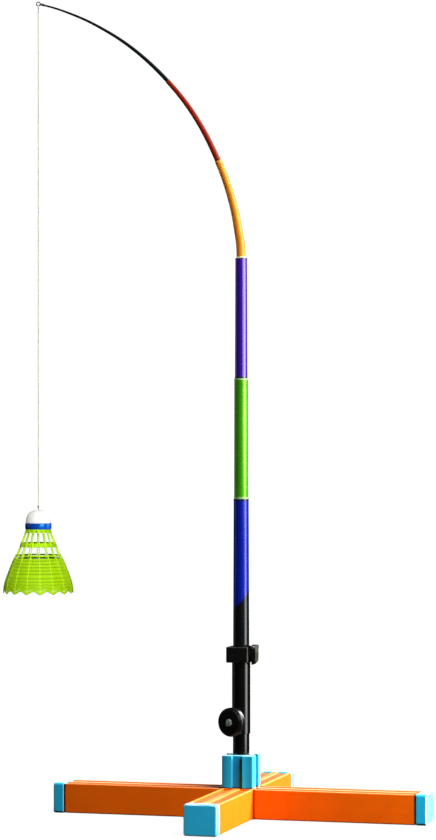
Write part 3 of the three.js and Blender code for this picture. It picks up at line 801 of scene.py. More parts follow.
boss = move(lathe("boss", fillet([(0, 6), (7.5, 6), (7.5, 17.2, 0.7), (0, 17.2)], closed=False), 64), KNOB)
cut(boss, rod_tool(11.75, KNOB_Z - 20, KNOB_Z + 20, segments=96), move(rod_tool(3.3, 0, 20), KNOB))
finish_piece(boss, "threaded_boss", "mast", M["zinc"], ["knob_boss"])

pad = lathe("pad", fillet([(0, 10.65), (2.9, 10.65, 0.4), (2.9, 12.6, 0.3), (0, 12.6)], closed=False), 40)
finish_piece(move(pad, KNOB), "pad_disc", "lock_pad", M["pad"], ["brake_pad"])

profile = densify(fillet([(0, 12.9), (2.4, 12.9), (2.9, 13.4), (2.9, 26.6, 0.2), (4.5, 26.6, 0.2), (4.5, 28.25, 0.5), (3.4, 29.2, 0.8), (0, 29.55)], closed=False, steps=5), 0.25)
stud = lathe("stud", profile, 48, thread(13.4, 25.0, 1.0, 0.3, 2.9))
cut(stud, move(prism("tool", fillet([(-0.55, -6), (0.55, -6), (0.55, 6), (-0.55, 6)], 0.15, steps=2), 28.35, 31), Matrix.Rotation(math.radians(8), 4, "Z")))
finish_piece(move(stud, KNOB), "knob_screw", "knob", M["screw_head"], ["knob_stud"], sharp=30)

knob = lathe("knob", fillet([
    (3.25, 17.6, 0.2), (8.2, 17.6, 0.3), (8.9, 18.3, 0.3), (14.2, 18.3, 0.3), (14.8, 17.6, 0.4), (16.4, 17.6, 0.8), (18.2, 19.4, 1.6), (18.2, 25.2, 2.4),
    (16.4, 27.25, 1.6), (15.75, 27.1, 0.25), (15.4, 27.15, 0.25), (15.0, 27.75, 0.4), (9, 28.6, 6.0), (5.6, 28.95, 0.5), (4.9, 28.6, 0.4), (4.9, 26.3, 0.15), (3.25, 26.3, 0.2),
], steps=6), 128, ripple=lambda a, r, z: r - (0.10 * (0.5 - 0.5 * math.cos(48 * a)) if r > 18.0 and 20.0 < z < 25.0 else 0.0))
finish_piece(move(knob, KNOB), "round_knob", "knob", M["knob"], ["lock_knob"])

# ------------------------------------------------------------------ clamp
PIN_X, PIN_Z = 17.6, 213.6
collar = prism("collar", fillet([(-16.3, -13.5), (12.1, -13.5), (12.1, 13.5), (-16.3, 13.5)], 1.8, steps=6), 193.9, 213.4, 0.8, 4, levels=[200, 207])
ear = fillet([(10.5, 206, 1.0), (16.8, 206, 1.5), (20, 210.2, 1.2), (20, 214.6, 1.4), (19, 215.6, 1.4), (12.4, 215.6, 1.6), (10.5, 213, 1.0)], steps=5)
for y0, y1 in ((7.8, 10.8), (-10.8, -7.8)):
    join(collar, move(prism("tool", ear, y0, y1, 0.35, 3), XZ))
cut(collar, rod_tool(11.75, 192, 211, segments=96), rod_tool(10.6, 210, 217, segments=96), box_tool(8, 20, -4.3, 4.3, 203.7, 211.3),
    move(rod_tool(1.4, -15, 15), axes((1, 0, 0), (0, 0, 1), (0, 1, 0), (PIN_X, 0, PIN_Z))))
for k in range(5):  # a shallow row of slots beside the lever
    cut(collar, box_tool(11.6, 13.0, -11.9, -10.0, 196.3 + 3.2 * k, 197.9 + 3.2 * k))
finish_piece(collar, "collar_block", "mast", M["black_plastic"], ["clamp_collar"])

pin = lathe("pin", fillet([(0, -11.8), (2.0, -11.8, 0.3), (2.0, -11.1, 0.1), (1.1, -11.1), (1.1, 11.1), (2.0, 11.1, 0.1), (2.0, 11.8, 0.3), (0, 11.8)], closed=False), 32)
finish_piece(move(pin, axes((1, 0, 0), (0, 0, 1), (0, 1, 0), (PIN_X, 0, PIN_Z))), "pivot_pin", "mast", M["zinc"], ["lever_pin"])

profile = fillet([
    (20.0, 213.6, 1.2), (19.3, 215.3, 1.2), (17.6, 216.0, 1.2), (15.9, 215.3, 1.2), (15.0, 213.6, 1.0), (13.9, 212.4, 0.8),
    (13.5, 211.0, 0.8), (13.5, 209.4, 0.8), (14.6, 207.8, 0.8), (15.0, 206.5, 0.8), (15.0, 191.8, 0.5), (16.0, 191.1, 0.6),
    (20.5, 195.7, 0.9), (20.8, 205.5, 6.0), (20.4, 211.5, 2.0),
], steps=5)
lever = move(prism("lever", profile, -7.5, 7.5, 0.6, 4), XZ)
cut(lever, move(prism("tool", fillet([(16.4, 207.4), (19.0, 207.4), (19.0, 210.9), (16.4, 210.9)], 0.6, steps=3), -9, 9), XZ),
    move(rod_tool(1.4, -15, 15), axes((1, 0, 0), (0, 0, 1), (0, 1, 0), (PIN_X, 0, PIN_Z))))
for k in range(5):
    y = -4.8 + 2.4 * k
    groove = prism("tool", fillet([(20.15, y - 0.55), (22.5, y - 0.55), (22.5, y + 0.55), (20.15, y + 0.55)], 0.3, steps=3), 196.9, 206.4, 0.2, 2)
    cut(lever, groove)
finish_piece(lever, "flip_lever", "lever", M["black_plastic"], ["clamp_lever"])

shoe = prism("shoe", fillet([(10.45, -4), (13.15, -4), (13.15, 4), (10.45, 4)], 0.5, steps=3), 204, 211, 0.4, 3)
finish_piece(shoe, "brake_shoe", "shoe", M["shoe"], ["clamp_shoe"])

# ------------------------------------------------------------------ rod, straight sections
bush = lathe("bush", fillet([(5, 173, 0.4), (10.35, 173, 0.6), (10.35, 176, 0.4), (8.7, 176, 0.3), (8.7, 190, 0.5), (5, 190, 0.4)]), 64)
finish_piece(bush, "foot_bush", "bush", M["black_plastic"], ["rod_bush"])

PALE = (0.55, 0.62, 0.40)


def butt_paint(t, color):
    """Black foot with a soft slanted edge where the blue starts."""
    side = t.node("ShaderNodeVectorMath", {0: t.object, 1: (0.9632, 0.2689, 0.0)}, operation="DOT_PRODUCT").outputs["Value"]
    z = t.node("ShaderNodeSeparateXYZ", {"Vector": t.object}).outputs[2]
    share = t.range(side, -0.0099, 0.0089, 0.0, 1.0)
    line = t.math("ADD", t.math("MULTIPLY", t.math("POWER", share, 1.6), 0.020), 0.2636)
    f = t.range(t.math("SUBTRACT", z, line), -0.003, 0.003, 0.0, 1.0, smooth=True)
    return t.mix(f, (0.0032, 0.0034, 0.0032), color)


M["rod_blue"] = rod_finish("rod_blue", (0.0012, 0.0055, 0.20), (0.012, 0.03, 0.48), (0.80, 0.90, 1.0), rings=[(0.3958, 0.3985, (0.002, 0.003, 0.03))], second=butt_paint, specular=0.42)
M["rod_green"] = rod_finish("rod_green", (0.022, 0.21, 0.0008), (0.09, 0.42, 0.008), (0.75, 1.0, 0.2), rings=[(0.3975, 0.4002, (0.20, 0.40, 0.13)), (0.5466, 0.5490, (0.20, 0.40, 0.13))])
M["rod_purple"] = rod_finish("rod_purple", (0.022, 0.003, 0.20), (0.08, 0.02, 0.42), (0.70, 0.53, 1.0), rings=[(0.5485, 0.5512, (0.003, 0.002, 0.03)), (0.6970, 0.6995, (0.004, 0.002, 0.03))])


def ringed(outer, z_from, z_to, low_ring, high_ring, lift=0.10, width=2.2):
    """An outer profile with a slightly raised trim ring at one or both ends."""
    (r0, z0), (r1, z1) = outer

    def radius(z):
        return r0 + (r1 - r0) * (z - z0) / (z1 - z0)
    pts = []
    if low_ring is not None:
        a, b = low_ring, low_ring + width
        pts += [(radius(a), a - 0.2, 0.1), (radius(a) + lift, a, 0.12), (radius(b) + lift, b, 0.12), (radius(b), b + 0.2, 0.1)]
    if high_ring is not None:
        b = high_ring
        a = b - width
        pts += [(radius(a), a - 0.2, 0.1), (radius(a) + lift, a, 0.12), (radius(b) + lift, b, 0.35)]
    return pts


butt = lathe("butt", densify(fillet(
    [(10.1, 176.3, 0.4), (10.1, 214, 0)] + ringed([(10.1, 214), (9.4, 397.2)], 214, 398, None, 398.0) + [(8.95, 398, 0.2), (8.95, 380, 0), (9.15, 200, 0), (9.15, 176.3, 0.3)], closed=True), 9.0), 96)
finish_piece(butt, "butt_section", "butt", M["rod_blue"], ["rod_butt"])
green = lathe("green", densify(fillet(
    [(8.8, 368, 0.3)] + ringed([(8.8, 398), (8.55, 548)], 398, 548.6, 398.2, 548.6) + [(7.85, 548.6, 0.2), (7.85, 530, 0), (7.95, 368, 0.2)], closed=True), 9.0), 96)
finish_piece(green, "green_tube", "green", M["rod_green"], ["green_section"])
purple = lathe("purple", densify(fillet(
    [(7.75, 520, 0.3)] + ringed([(7.75, 548.6), (7.3, 698.4)], 548, 699, 548.8, 699.0) + [(6.3, 699, 0.2), (6.3, 670, 0), (6.7, 520, 0.2)], closed=True), 9.0), 96)
finish_piece(purple, "purple_tube", "purple", M["rod_purple"], ["purple_section"])
ferrule = lathe("ferrule", fillet([(0, 672), (5.2, 672), (6.0, 673.2, 0.3), (6.0, 698.7, 0.4), (0, 698.7)], closed=False), 64)
finish_piece(ferrule, "ferrule", "purple", M["black_plastic"], ["orange_ferrule"])

# ------------------------------------------------------------------ rod, bent sections
BEND_ANGLE = math.radians(202)
B = Vector((math.cos(BEND_ANGLE), math.sin(BEND_ANGLE), 0))
BEND = [
    (0, 699), (0.8, 715), (3.3, 732), (8.6, 760), (18.9, 795), (29.3, 820.9),
    (48.0, 858.9), (68.9, 891.2), (92.7, 919.5), (110.3, 937.2), (131.0, 955.1),
    (151.8, 970.1), (172.5, 982.4), (193.2, 993.0), (213.8, 1001.4), (232, 1007.6), (249.6, 1012.1),
]


def catmull(points, per=60):
    """Centripetal curve through the points, with the length at each sample and at each point."""
    p = [Vector((x, z)) for x, z in points]
    ext = [p[0] * 2 - p[1]] + p + [p[-1] * 2 - p[-2]]
    out = []
    for i in range(len(p) - 1):
        p0, p1, p2, p3 = ext[i], ext[i + 1], ext[i + 2], ext[i + 3]
        d0, d1, d2 = ((b - a).length_squared ** 0.25 for a, b in ((p0, p1), (p1, p2), (p2, p3)))
        m1 = ((p1 - p0) / d0 - (p2 - p0) / (d0 + d1) + (p2 - p1) / d1) * d1
        m2 = ((p2 - p1) / d1 - (p3 - p1) / (d1 + d2) + (p3 - p2) / d2) * d1
        for k in range(per):
            t = k / per
            out.append(p1 + m1 * t + (-3 * p1 + 3 * p2 - 2 * m1 - m2) * t ** 2 + (2 * p1 - 2 * p2 + m1 + m2) * t ** 3)
    out.append(p[-1])
    length = [0.0]
    for a, b in zip(out, out[1:]):
        length.append(length[-1] + (b - a).length)
    return out, length, [length[i * per] for i in range(len(p))]


curve, curve_length, at_point = catmull(BEND)
TOTAL = curve_length[-1]


def on_curve(s):
    """The point, in the world, at length s along the bend."""
    s = max(0.0, min(TOTAL, s))
    lo, hi = 0, len(curve_length) - 1
    while hi - lo > 1:
        mid = (lo + hi) // 2
        if curve_length[mid] <= s:
            lo = mid
        else:
            hi = mid
    f = (s - curve_length[lo]) / max(1e-9, curve_length[hi] - curve_length[lo])
    q = curve[lo].lerp(curve[hi], f)
    return Vector((B.x * q.x, B.y * q.x, q.y))


def bent(name, s0, s1, r0, r1, sides, steps, ring=2.8, lift=0.12, tail=None):
    stations = [s0, s0 + 0.25, s0 + 0.5, s0 + ring * 0.5, s0 + ring - 0.1, s0 + ring + 0.1]
    first = s0 + ring + 3.0
    stations += [first + (s1 - 0.6 - first) * k / steps for k in range(steps + 1)] + [s1 - 0.3, s1 - 0.1, s1]
    path = [on_curve(s) for s in stations]

    def radius(f):
        s = s0 + f * (s1 - s0)
        r = r0 + (r1 - r0) * f
        if s < s0 + ring:
            r += lift
        if s < s0 + 0.4:
            r -= 0.25 * (1 - (s - s0) / 0.4)
        if s > s1 - 0.3:
            r -= 0.2 * (s - s1 + 0.3) / 0.3
        return r
    return sweep(name, path, radius, sides, up=B.cross(Vector((0, 0, 1))), dome=False)


M["rod_orange"] = rod_finish("rod_orange", (0.60, 0.155, 0.001), (0.98, 0.46, 0.01), (1.0, 0.80, 0.25), rings=[(-0.001, 0.0011, (0.92, 0.70, 0.30))], attribute="along", rough=0.40, wound=0.12, sheen=0.5, sheen_roughness=0.3, sheen_tint=(1.0, 0.86, 0.36, 1.0))
M["rod_red"] = rod_finish("rod_red", (0.185, 0.008, 0.002), (0.40, 0.04, 0.02), (1.0, 0.40, 0.28), rings=[(-0.001, 0.0018, (0.07, 0.005, 0.003))], attribute="along", rough=0.36, wound=0.12, specular=0.25)
M["rod_tip"] = rod_finish("rod_tip", (0.0025, 0.0050, 0.0042), (0.010, 0.016, 0.014), (0.8, 1.0, 0.95), attribute="along", rough=0.34, specular=0.14, wound=0.12)

orange = finish_piece(bent("orange", 1.0, at_point[5], 5.75, 4.4, 32, 44), "orange_rod", None, M["rod_orange"], ["orange_section"])
red = finish_piece(bent("red", at_point[5] - 0.4, at_point[8], 3.75, 2.95, 28, 44, 2.0, 0.06), "red_rod", None, M["rod_red"], ["red_section"])
tip = finish_piece(bent("tip", at_point[8] - 0.4, TOTAL, 2.6, 1.1, 24, 60, 1.6, 0.05), "tip_rod", None, M["rod_tip"], ["tip_section"])

# ------------------------------------------------------------------ eye at the tip
EYE = Vector((B.x * 253.5, B.y * 253.5, 1012.8))
UP = Vector((0, 0, 1))
SIDE = UP.cross(B).normalized()
tangent = (on_curve(TOTAL) - on_curve(TOTAL - 1.0)).normalized()
end = on_curve(TOTAL)
circle = [EYE + (B * math.cos(a) + UP * math.sin(a)) * 2.35 for a in (TAU * k / 40 for k in range(40))]
eye = sweep("eye", circle, 0.65, 14, closed=True)
perp = tangent.cross(SIDE).normalized()
sleeve = lathe("sleeve", fillet([(0, -4.4), (1.3, -4.4, 0.15), (1.5, -4.0, 0.2), (1.5, -0.4, 0.2), (1.35, 0.0, 0.1), (1.5, 0.4, 0.2), (1.5, 1.5, 0.3), (1.1, 1.9, 0.2), (0, 1.9)], closed=False), 28)
move(sleeve, axes(perp, tangent.cross(perp), tangent, end))
hole = move(rod_tool(1.17, -8, 0.35, segments=28), axes(perp, tangent.cross(perp), tangent, end))
cut(sleeve, hole)
cut(sleeve, move(rod_tool(2.15, -3, 3), axes(B, UP, B.cross(UP), EYE)))
join(eye, sleeve)
finish_piece(eye, "wire_eye", "tip", M["ring"], ["tip_ring"])


# ------------------------------------------------------------------ cord, its loop and knots
def fibre(name, base, dark):
    t = Tree(name)
    lay = t.noise(5200.0, 3.0, 0.7)
    slow = t.noise(60.0, 2.0, 0.5)
    fuzz = t.noise(1.0, 2.0, 0.7, vector=t.stretch((4200.0, 4200.0, 900.0)))
    color = t.mix(t.range(lay, 0.3, 0.7, 0.0, 0.5), base, dark)
    color = t.mix(t.range(slow, 0.35, 0.7, 0.0, 0.35), color, shade(base, 0.86))
    normal = t.bump(fuzz, 0.35, 0.0001)
    return t.done(color, t.range(lay, 0.3, 0.7, 0.55, 0.8), normal, sheen=0.25, sheen_roughness=0.5)


M["cord"] = fibre("twisted_cord", (0.74, 0.74, 0.63), (0.56, 0.56, 0.47))
M["knot"] = fibre("knotted_cord", (0.30, 0.30, 0.26), (0.14, 0.14, 0.12))


def strands(pitch, count=3, deep=0.24):
    return lambda a, s: 1.0 - deep * (0.5 - 0.5 * math.cos(count * (a - TAU * s / pitch / 1.0))) ** 1.0


LX, LY = EYE.x, EYE.y
loop_path = []
for k in range(56):
    a = TAU * k / 56
    loop_path.append(Vector((LX, LY, 1008.9)) + SIDE * (2.4 * math.cos(a) * (1.0 - 0.18 * max(0.0, -math.sin(a)))) + UP * (2.4 * 1.33 * math.sin(a)))
loop = sweep("loop", loop_path, 0.66, 12, section=lambda a, s: 1.0 - 0.16 * (0.5 - 0.5 * math.cos(3 * a - TAU * s / 2.3)), closed=True)
finish_piece(loop, "eye_loop", "loop", M["cord"], ["line_loop"], sharp=70, weighted=False)


def knot_path(centre, size, tall, turns=60, tail_up=0.0, tail_down=0.0):
    """An overhand knot pulled tight."""
    pts = []
    for k in range(turns + 1):
        a = TAU * k / turns * 1.0
        x = math.sin(a) + 2 * math.sin(2 * a)
        y = math.cos(a) - 2 * math.cos(2 * a)
        z = -math.sin(3 * a)
        pts.append(centre + SIDE * (x * size / 3) + B * (z * size * 0.34) + UP * (y * tall / 3))
    return pts[:-1]


knot = sweep("knot", knot_path(Vector((LX, LY, 1003.1)), 1.15, 1.35), 0.56, 12, section=lambda a, s: 1.0 - 0.12 * (0.5 - 0.5 * math.cos(3 * a - TAU * s / 2.0)), closed=True)
finish_piece(knot, "loop_knot", "line", M["cord"], ["line_knot"], sharp=70, weighted=False)

LINE_TOP, LINE_LOW = 1001.3, 390.0
line_path = [Vector((LX, LY, LINE_TOP - (LINE_TOP - LINE_LOW) * k / 1500)) for k in range(1501)]
cord = sweep("cord", line_path, 0.70, 10, section=lambda a, s: 1.0 - 0.13 * (0.5 - 0.5 * math.cos(3 * a - TAU * s / 3.4)))
finish_piece(cord, "cord_line", "line", M["cord"], ["hanging_line"], sharp=80, weighted=False)

# ------------------------------------------------------------------ shuttlecock
CX, CY = LX, LY
SHUTTLE = shifted(CX, CY, 0)

ball = sweep("ball", [p - Vector((LX, LY, 0)) for p in knot_path(Vector((LX, LY, 388.9)), 1.5, 1.35)], 0.6, 12, section=lambda a, s: 1.0 - 0.12 * (0.5 - 0.5 * math.cos(3 * a - TAU * s / 2.2)), closed=True)
legs = []
for sx in (-1, 1):
    p = [SIDE * (sx * 0.21) + UP * (389.3 + 0.07 * sx), SIDE * (sx * 0.6) + UP * 388.2, SIDE * (sx * 1.05) + UP * 387.0, SIDE * (sx * 1.0) + UP * 385.8, SIDE * (sx * 0.55) + UP * 384.4, SIDE * (sx * 0.36) + UP * 380.0, SIDE * (sx * 0.36) + UP * 375.2]
    legs.append(sweep("leg", p, 0.45, 10))
stem = lathe("stem", fillet([(0, 385.2), (0.8, 385.2, 0.1), (0.9, 384.6), (0.9, 376.4, 0.2), (2.2, 375.4, 0.5), (2.4, 374, 0.6), (1.4, 372.4, 0.5), (0, 372.2)], closed=False), 28)
join(ball, *legs, stem)
move(ball, SHUTTLE)
finish_piece(ball, "cork_tie", "cork_knot", M["knot"], ["shuttle_knot"], sharp=60, weighted=False)


def cork_finish(name):
    t = Tree(name)
    grain = t.noise(900.0, 4.0, 0.65)
    pores = t.node("ShaderNodeTexVoronoi", {"Vector": t.object, "Scale": 620.0, "Randomness": 1.0}).outputs["Distance"]
    slow = t.noise(60.0, 3.0, 0.5)
    color = t.mix(t.range(slow, 0.3, 0.7, 0.0, 1.0), (0.92, 0.90, 0.86), (0.99, 0.975, 0.95))
    color = t.mix(t.range(pores, 0.0, 0.16, 0.35, 0.0), color, (0.55, 0.48, 0.38))
    color = t.mix(t.math("MULTIPLY", t.attribute("edge"), 0.25), color, (0.7, 0.66, 0.58))
    normal = t.bump(grain, 0.25, 0.0002)
    normal = t.bump(t.range(pores, 0.0, 0.2, 0.0, 1.0), 0.2, 0.0002, normal)
    return t.done(color, t.range(grain, 0.3, 0.7, 0.42, 0.62), normal, sheen=0.1, sheen_roughness=0.5)


M["cork"] = cork_finish("kid_leather_cork")
M["band"] = lacquer("blue_band", (0.003, 0.07, 0.56), 0.25, peel=0.1, coat=0.0, edge_tone=(0.05, 0.25, 0.8), edge_tone_amount=0.3, specular=0.9, tint=(0.12, 0.85, 1.0, 1.0))

dome = []
for k in range(29):
    w = math.pi / 2 * k / 28
    dome.append((15.6 * math.sin(w) ** 0.87, 368.9 + 16.5 * math.cos(w) ** 0.87, 0.0))
profile = [(1.3, 377.5, 0.0), (1.3, 384.9, 0.2), (1.7, 385.35, 0.3)] + [p for p in dome if p[0] > 2.2] + [(15.45, 368.62, 0.3), (15.1, 368.55, 0.0), (12.25, 368.55, 0.1), (12.25, 377.5, 0.0)]
cork = lathe("cork", profile, 96)
finish_piece(move(cork, SHUTTLE), "cork_head", "shuttle", M["cork"], ["shuttle_cork"])
band = lathe("band", fillet([(15.5, 361.3, 0.15), (16.3, 361.3, 0.45), (16.45, 365, 3.0), (16.3, 368.75, 0.45), (15.5, 368.75, 0.15)], steps=4), 96)
finish_piece(move(band, SHUTTLE), "cork_band", "shuttle", M["band"], ["shuttle_band"])


def skirt_finish(name):
    t = Tree(name)
    slow = t.noise(25.0, 3.0, 0.5)
    fine = t.noise(2200.0, 2.0, 0.6)
    thick = t.attribute("rib")
    within = t.attribute("within")
    base = (0.40, 0.74, 0.004)
    color = t.mix(t.range(slow, 0.3, 0.7, 0.0, 1.0), shade(base, 0.92), shade(base, 1.08))
    color = t.mix(t.math("MULTIPLY", thick, 0.45), color, (0.66, 1.0, 0.03))
    # painted shade darkens the inner side, but the ribs between the windows keep their colour
    z = t.node("ShaderNodeSeparateXYZ", {"Vector": t.object}).outputs[2]
    open_rib = t.math("MULTIPLY", thick, t.range(z, 0.3235, 0.3265, 0.0, 1.0))
    shaded = t.math("MULTIPLY", within, t.math("SUBTRACT", 1.0, t.math("MULTIPLY", open_rib, 0.95)))
    color = t.mix(t.math("MULTIPLY", shaded, 0.88), color, (0.050, 0.10, 0.0))
    normal = t.bump(fine, 0.08, 0.0001)
    # painted glow: the outer side glows faintly in its own colour, and the inner sides of the ribs between the windows
    # glow bright lime
    return t.done(color, t.range(fine, 0.3, 0.7, 0.30, 0.42), normal, specular=0.35, tint=(0.75, 1.0, 0.15, 1.0), subsurface=0.25, subsurface_scale=0.002, subsurface_radius=(1.0, 1.0, 0.15), emission=t.mix(t.math("MULTIPLY", within, open_rib), t.mix(within, (0.40, 0.74, 0.004), (0.0, 0.0, 0.0)), (5.5, 8.0, 1.5)), emission_strength=0.06)


M["skirt"] = skirt_finish("skirt_nylon")

OUTER = [
    (361.3, 15.3), (358.4, 16.3), (352.2, 18.4), (346, 20.8), (339.8, 22.9), (333.6, 25.4), (327.4, 29.0), (321.1, 32.2),
    (314.9, 34.7), (308.7, 37.2), (302.5, 39.4), (296.3, 41.6), (290.1, 42.9), (281.4, 43.5),
]


def skirt_radius(z):
    if z >= OUTER[0][0]:
        return OUTER[0][1]
    for (z0, r0), (z1, r1) in zip(OUTER, OUTER[1:]):
        if z >= z1:
            f = (z0 - z) / (z0 - z1)
            return r0 + (r1 - r0) * f
    return OUTER[-1][1]


RIBS, CELLS = 16, 6
# rows from the top: z, kind of the row below it
rows = [
    ("neck", 377.2, 11.9), ("neck", 372.8, 11.9), ("neck", 368.4, 11.9), ("neck", 368.4, 13.6), ("neck", 368.4, 15.3), ("neck", 364.8, 15.3),
    ("solid", 361.3, None), ("solid", 359.9, None), ("eyelet", 359.4, None), ("solid", 358.2, None), ("window", 357.0, None), ("window", 352.4, None), ("window", 347.7, None),
    ("solid", 344.9, None), ("solid", 342.0, None), ("window", 339.1, None), ("window", 336.0, None), ("window", 333.0, None),
    ("solid", 330.0, None), ("window", 327.9, None), ("solid", 326.0, None),
]
NET = [323.0, 319.0, 315.0, 311.0, 307.0, 301.6, 297.4, 293.2, 289.2, 285.6]
HALF_HOLE = 0.66
for k, c in enumerate(NET):
    half_hole = HALF_HOLE if k < len(NET) - 2 else (0.56 if k < len(NET) - 1 else 0.30)
    rows.append(("net", c + half_hole, None))
    rows.append(("solid", c - half_hole, None))
rows.append(("end", 281.4, None))

verts, faces_, rib_weight, thickness = [], [], [], []
row_index = []
for kind, z, radius in rows:
    r = radius if radius else skirt_radius(z)
    bottom = max(0.0, min(1.0, (300.0 - z) / 18.6))
    rib_half = min(0.34, (0.95 if z < 357 else 0.9) / r / (TAU / RIBS) * (1.0 + 0.25 * bottom))
    thread_half = min(0.06, (0.90 if kind in ("net", "solid") and z < 325 else 0.42) / r / (TAU / RIBS))
    edges = [rib_half]
    if kind in ("net", "solid") and z < 325:
        thread_half = (1 - 0.42) * (1 - 2 * rib_half) / (2 * CELLS - 2)
    hole_wide = (1 - 2 * rib_half - 2 * thread_half * (CELLS - 1)) / CELLS
    for c in range(1, CELLS):
        mid = rib_half + c * hole_wide + (2 * c - 1) * thread_half
        edges += [mid - thread_half, mid + thread_half]
    edges.append(1 - rib_half)
    shares = [0.0] + edges  # 0 is the middle of the rib
    row = []
    for sector in range(RIBS):
        for i, share in enumerate(shares):
            a = TAU * (sector + share) / RIBS - 0.0131
            # the rim hangs lower at the ribs than between them
            drop = 0.0
            if z < 297:
                drop = 1.9 * (1 - math.cos(TAU * share)) * (297 - z) / (297 - 281.4)
            near = min(share, 1 - share)
            level = min(1.0, max(0.0, (357 - z) / 14))
            if near < 1e-9:
                flute = 0.55 * level
            elif near <= rib_half + 1e-9:
                flute = 0.10 * level
            else:
                flute = -0.12 * level
            q = r + flute
            row.append(len(verts))
            verts.append((q * math.cos(a), q * math.sin(a), z + drop))
            is_rib = share <= rib_half + 1e-9 or share >= 1 - rib_half - 1e-9
            rib_weight.append(1.0 if is_rib and z < 361 else 0.0)
            thickness.append(1.0 if (is_rib or z > 325) else 0.55)
    row_index.append(row)

per = len(shares)
count = per * RIBS
for k, (kind, z, radius) in enumerate(rows[:-1]):
    for i in range(count):
        c = i % per
        # c == 0: right half of the rib; c == per-1: left half; others alternate hole, thread, hole
        hole = False
        if 1 <= c <= per - 2:
            is_hole_column = (c % 2) == 1
            if kind == "window":
                hole = True
            elif kind == "net":
                hole = is_hole_column
            elif kind == "eyelet":
                hole = 4 < c < 8
        if hole:
            continue
        j = (i + 1) % count
        faces_.append((row_index[k][i], row_index[k][j], row_index[k + 1][j], row_index[k + 1][i]))
me = bpy.data.meshes.new("skirt")
me.from_pydata([(x * MM, y * MM, z * MM) for x, y, z in verts], [], faces_)
layer = me.attributes.new("rib", "FLOAT", "POINT")
layer.data.foreach_set("value", rib_weight)
skirt = bpy.data.objects.new("skirt", me)
scene.collection.objects.link(skirt)
group = skirt.vertex_groups.new(name="thick")
for i, t in enumerate(thickness):
    group.add([i], t, "REPLACE")
bm = bmesh.new()
bm.from_mesh(me)
bmesh.ops.delete(bm, geom=[v for v in bm.verts if not v.link_faces], context="VERTS")
bmesh.ops.recalc_face_normals(bm, faces=bm.faces)
outward = sum(f.normal.dot(f.calc_center_median().xy.to_3d().normalized()) * f.calc_area() for f in bm.faces)
if outward < 0:
    bmesh.ops.reverse_faces(bm, faces=bm.faces)
bm.to_mesh(me)
bm.free()
m = skirt.modifiers.new("solid", "SOLIDIFY")
m.thickness = 1.25 * MM
m.offset = -1
m.vertex_group = "thick"
m.thickness_vertex_group = 0.0
m.use_even_offset = False
m = skirt.modifiers.new("round", "SUBSURF")
m.levels = m.render_levels = 1
apply_modifiers(skirt)
skirt.vertex_groups.clear()
# the inner side is marked by where its points face
me = skirt.data
layer = me.attributes.new("within", "FLOAT", "POINT")
values = []
for v in me.vertices:
    away = Vector((v.co.x, v.co.y, 0)).normalized()
    values.append(max(0.0, min(1.0, 0.5 - 1.4 * v.normal.dot(away))))
layer.data.foreach_set("value", values)
finish_piece(move(skirt, SHUTTLE), "net_skirt", "shuttle", M["skirt"], ["shuttle_skirt"], sharp=60, weighted=False)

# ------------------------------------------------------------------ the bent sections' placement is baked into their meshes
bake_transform(orange)
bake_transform(red)
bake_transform(tip)

# ------------------------------------------------------------------ floor, world and lights
KEY, RIM, FILL = 13.6, 1.0, 92.0
BACK_LIGHT = 0.75
KEY_FLOOR, KEY_UPRIGHT, FILL_UPRIGHT, KEY_SHUTTLE = 0.55, 3.4, 1.3, 3.5
RIM_CAPS, BACK_CAPS, GLINT, GLINT_LEVER, KEY_BAND, SIDE_CORK, KEY_BEND = 2.8, 1.3, 15.0, 1.0, 3.3, 1.3, 3.2
NAMES = {r[0] for r in REPORT}
BASE_NAMES = {n for n in NAMES if n.startswith(("core_", "arm_", "end_cap", "hub_"))}
SHUTTLE_NAMES = {"cork_tie", "cork_head", "net_skirt", "cord_line", "loop_knot", "eye_loop"}
STRIP_LOW, STRIP_HIGH, STRIP_WIDE, STRIP_LEFT, STRIP_LEFT_HIGH, STRIP_BAND = 8.0, 5.5, 4.6, 0.4, 0.55, 2.6
WORLD_BASE, WORLD_BACK = 0.012, 0.20
floor_mesh = bpy.data.meshes.new("floor")
bm = bmesh.new()
bmesh.ops.create_circle(bm, cap_ends=True, segments=96, radius=40.0)
bm.to_mesh(floor_mesh)
bm.free()
floor = bpy.data.objects.new("floor", floor_mesh)
floor.location = (0, 0, -0.0003)
scene.collection.objects.link(floor)
t = Tree("pale_floor")
grain = t.noise(40.0, 3.0, 0.6)
t.done(t.mix(t.range(grain, 0.3, 0.7, 0.0, 1.0), (0.86, 0.86, 0.855), (0.90, 0.90, 0.895)), 0.65, specular=0.0, emission=(1, 1, 1), emission_strength=0.90)
# what the object sees of the floor is dimmer than what the camera sees
dim = t.node("ShaderNodeBsdfDiffuse", {"Color": (0.016, 0.016, 0.0155)})
seen_by = t.node("ShaderNodeLightPath")
choose = t.node("ShaderNodeMixShader")
t.nt.links.new(seen_by.outputs["Is Camera Ray"], choose.inputs[0])
t.nt.links.new(dim.outputs[0], choose.inputs[1])
t.nt.links.new(t.bsdf.outputs[0], choose.inputs[2])
t.nt.links.new(choose.outputs[0], t.out.inputs[0])
floor_mesh.materials.append(t.material)

world = bpy.data.worlds.new("world")
scene.world = world
world.use_nodes = True
nt = world.node_tree
nt.nodes.clear()


def wmath(op, a, b=0.0):
    n = nt.nodes.new("ShaderNodeMath")
    n.operation = op
    for i, v in enumerate((a, b)):
        if isinstance(v, bpy.types.NodeSocket):
            nt.links.new(v, n.inputs[i])
        else:
            n.inputs[i].default_value = v
    return n.outputs[0]


def wrange(value, a, b, c, d):
    n = nt.nodes.new("ShaderNodeMapRange")
    n.interpolation_type = "SMOOTHSTEP"
    nt.links.new(value, n.inputs["Value"])
    for key, v in (("From Min", a), ("From Max", b), ("To Min", c), ("To Max", d)):
        n.inputs[key].default_value = v
    return n.outputs[0]


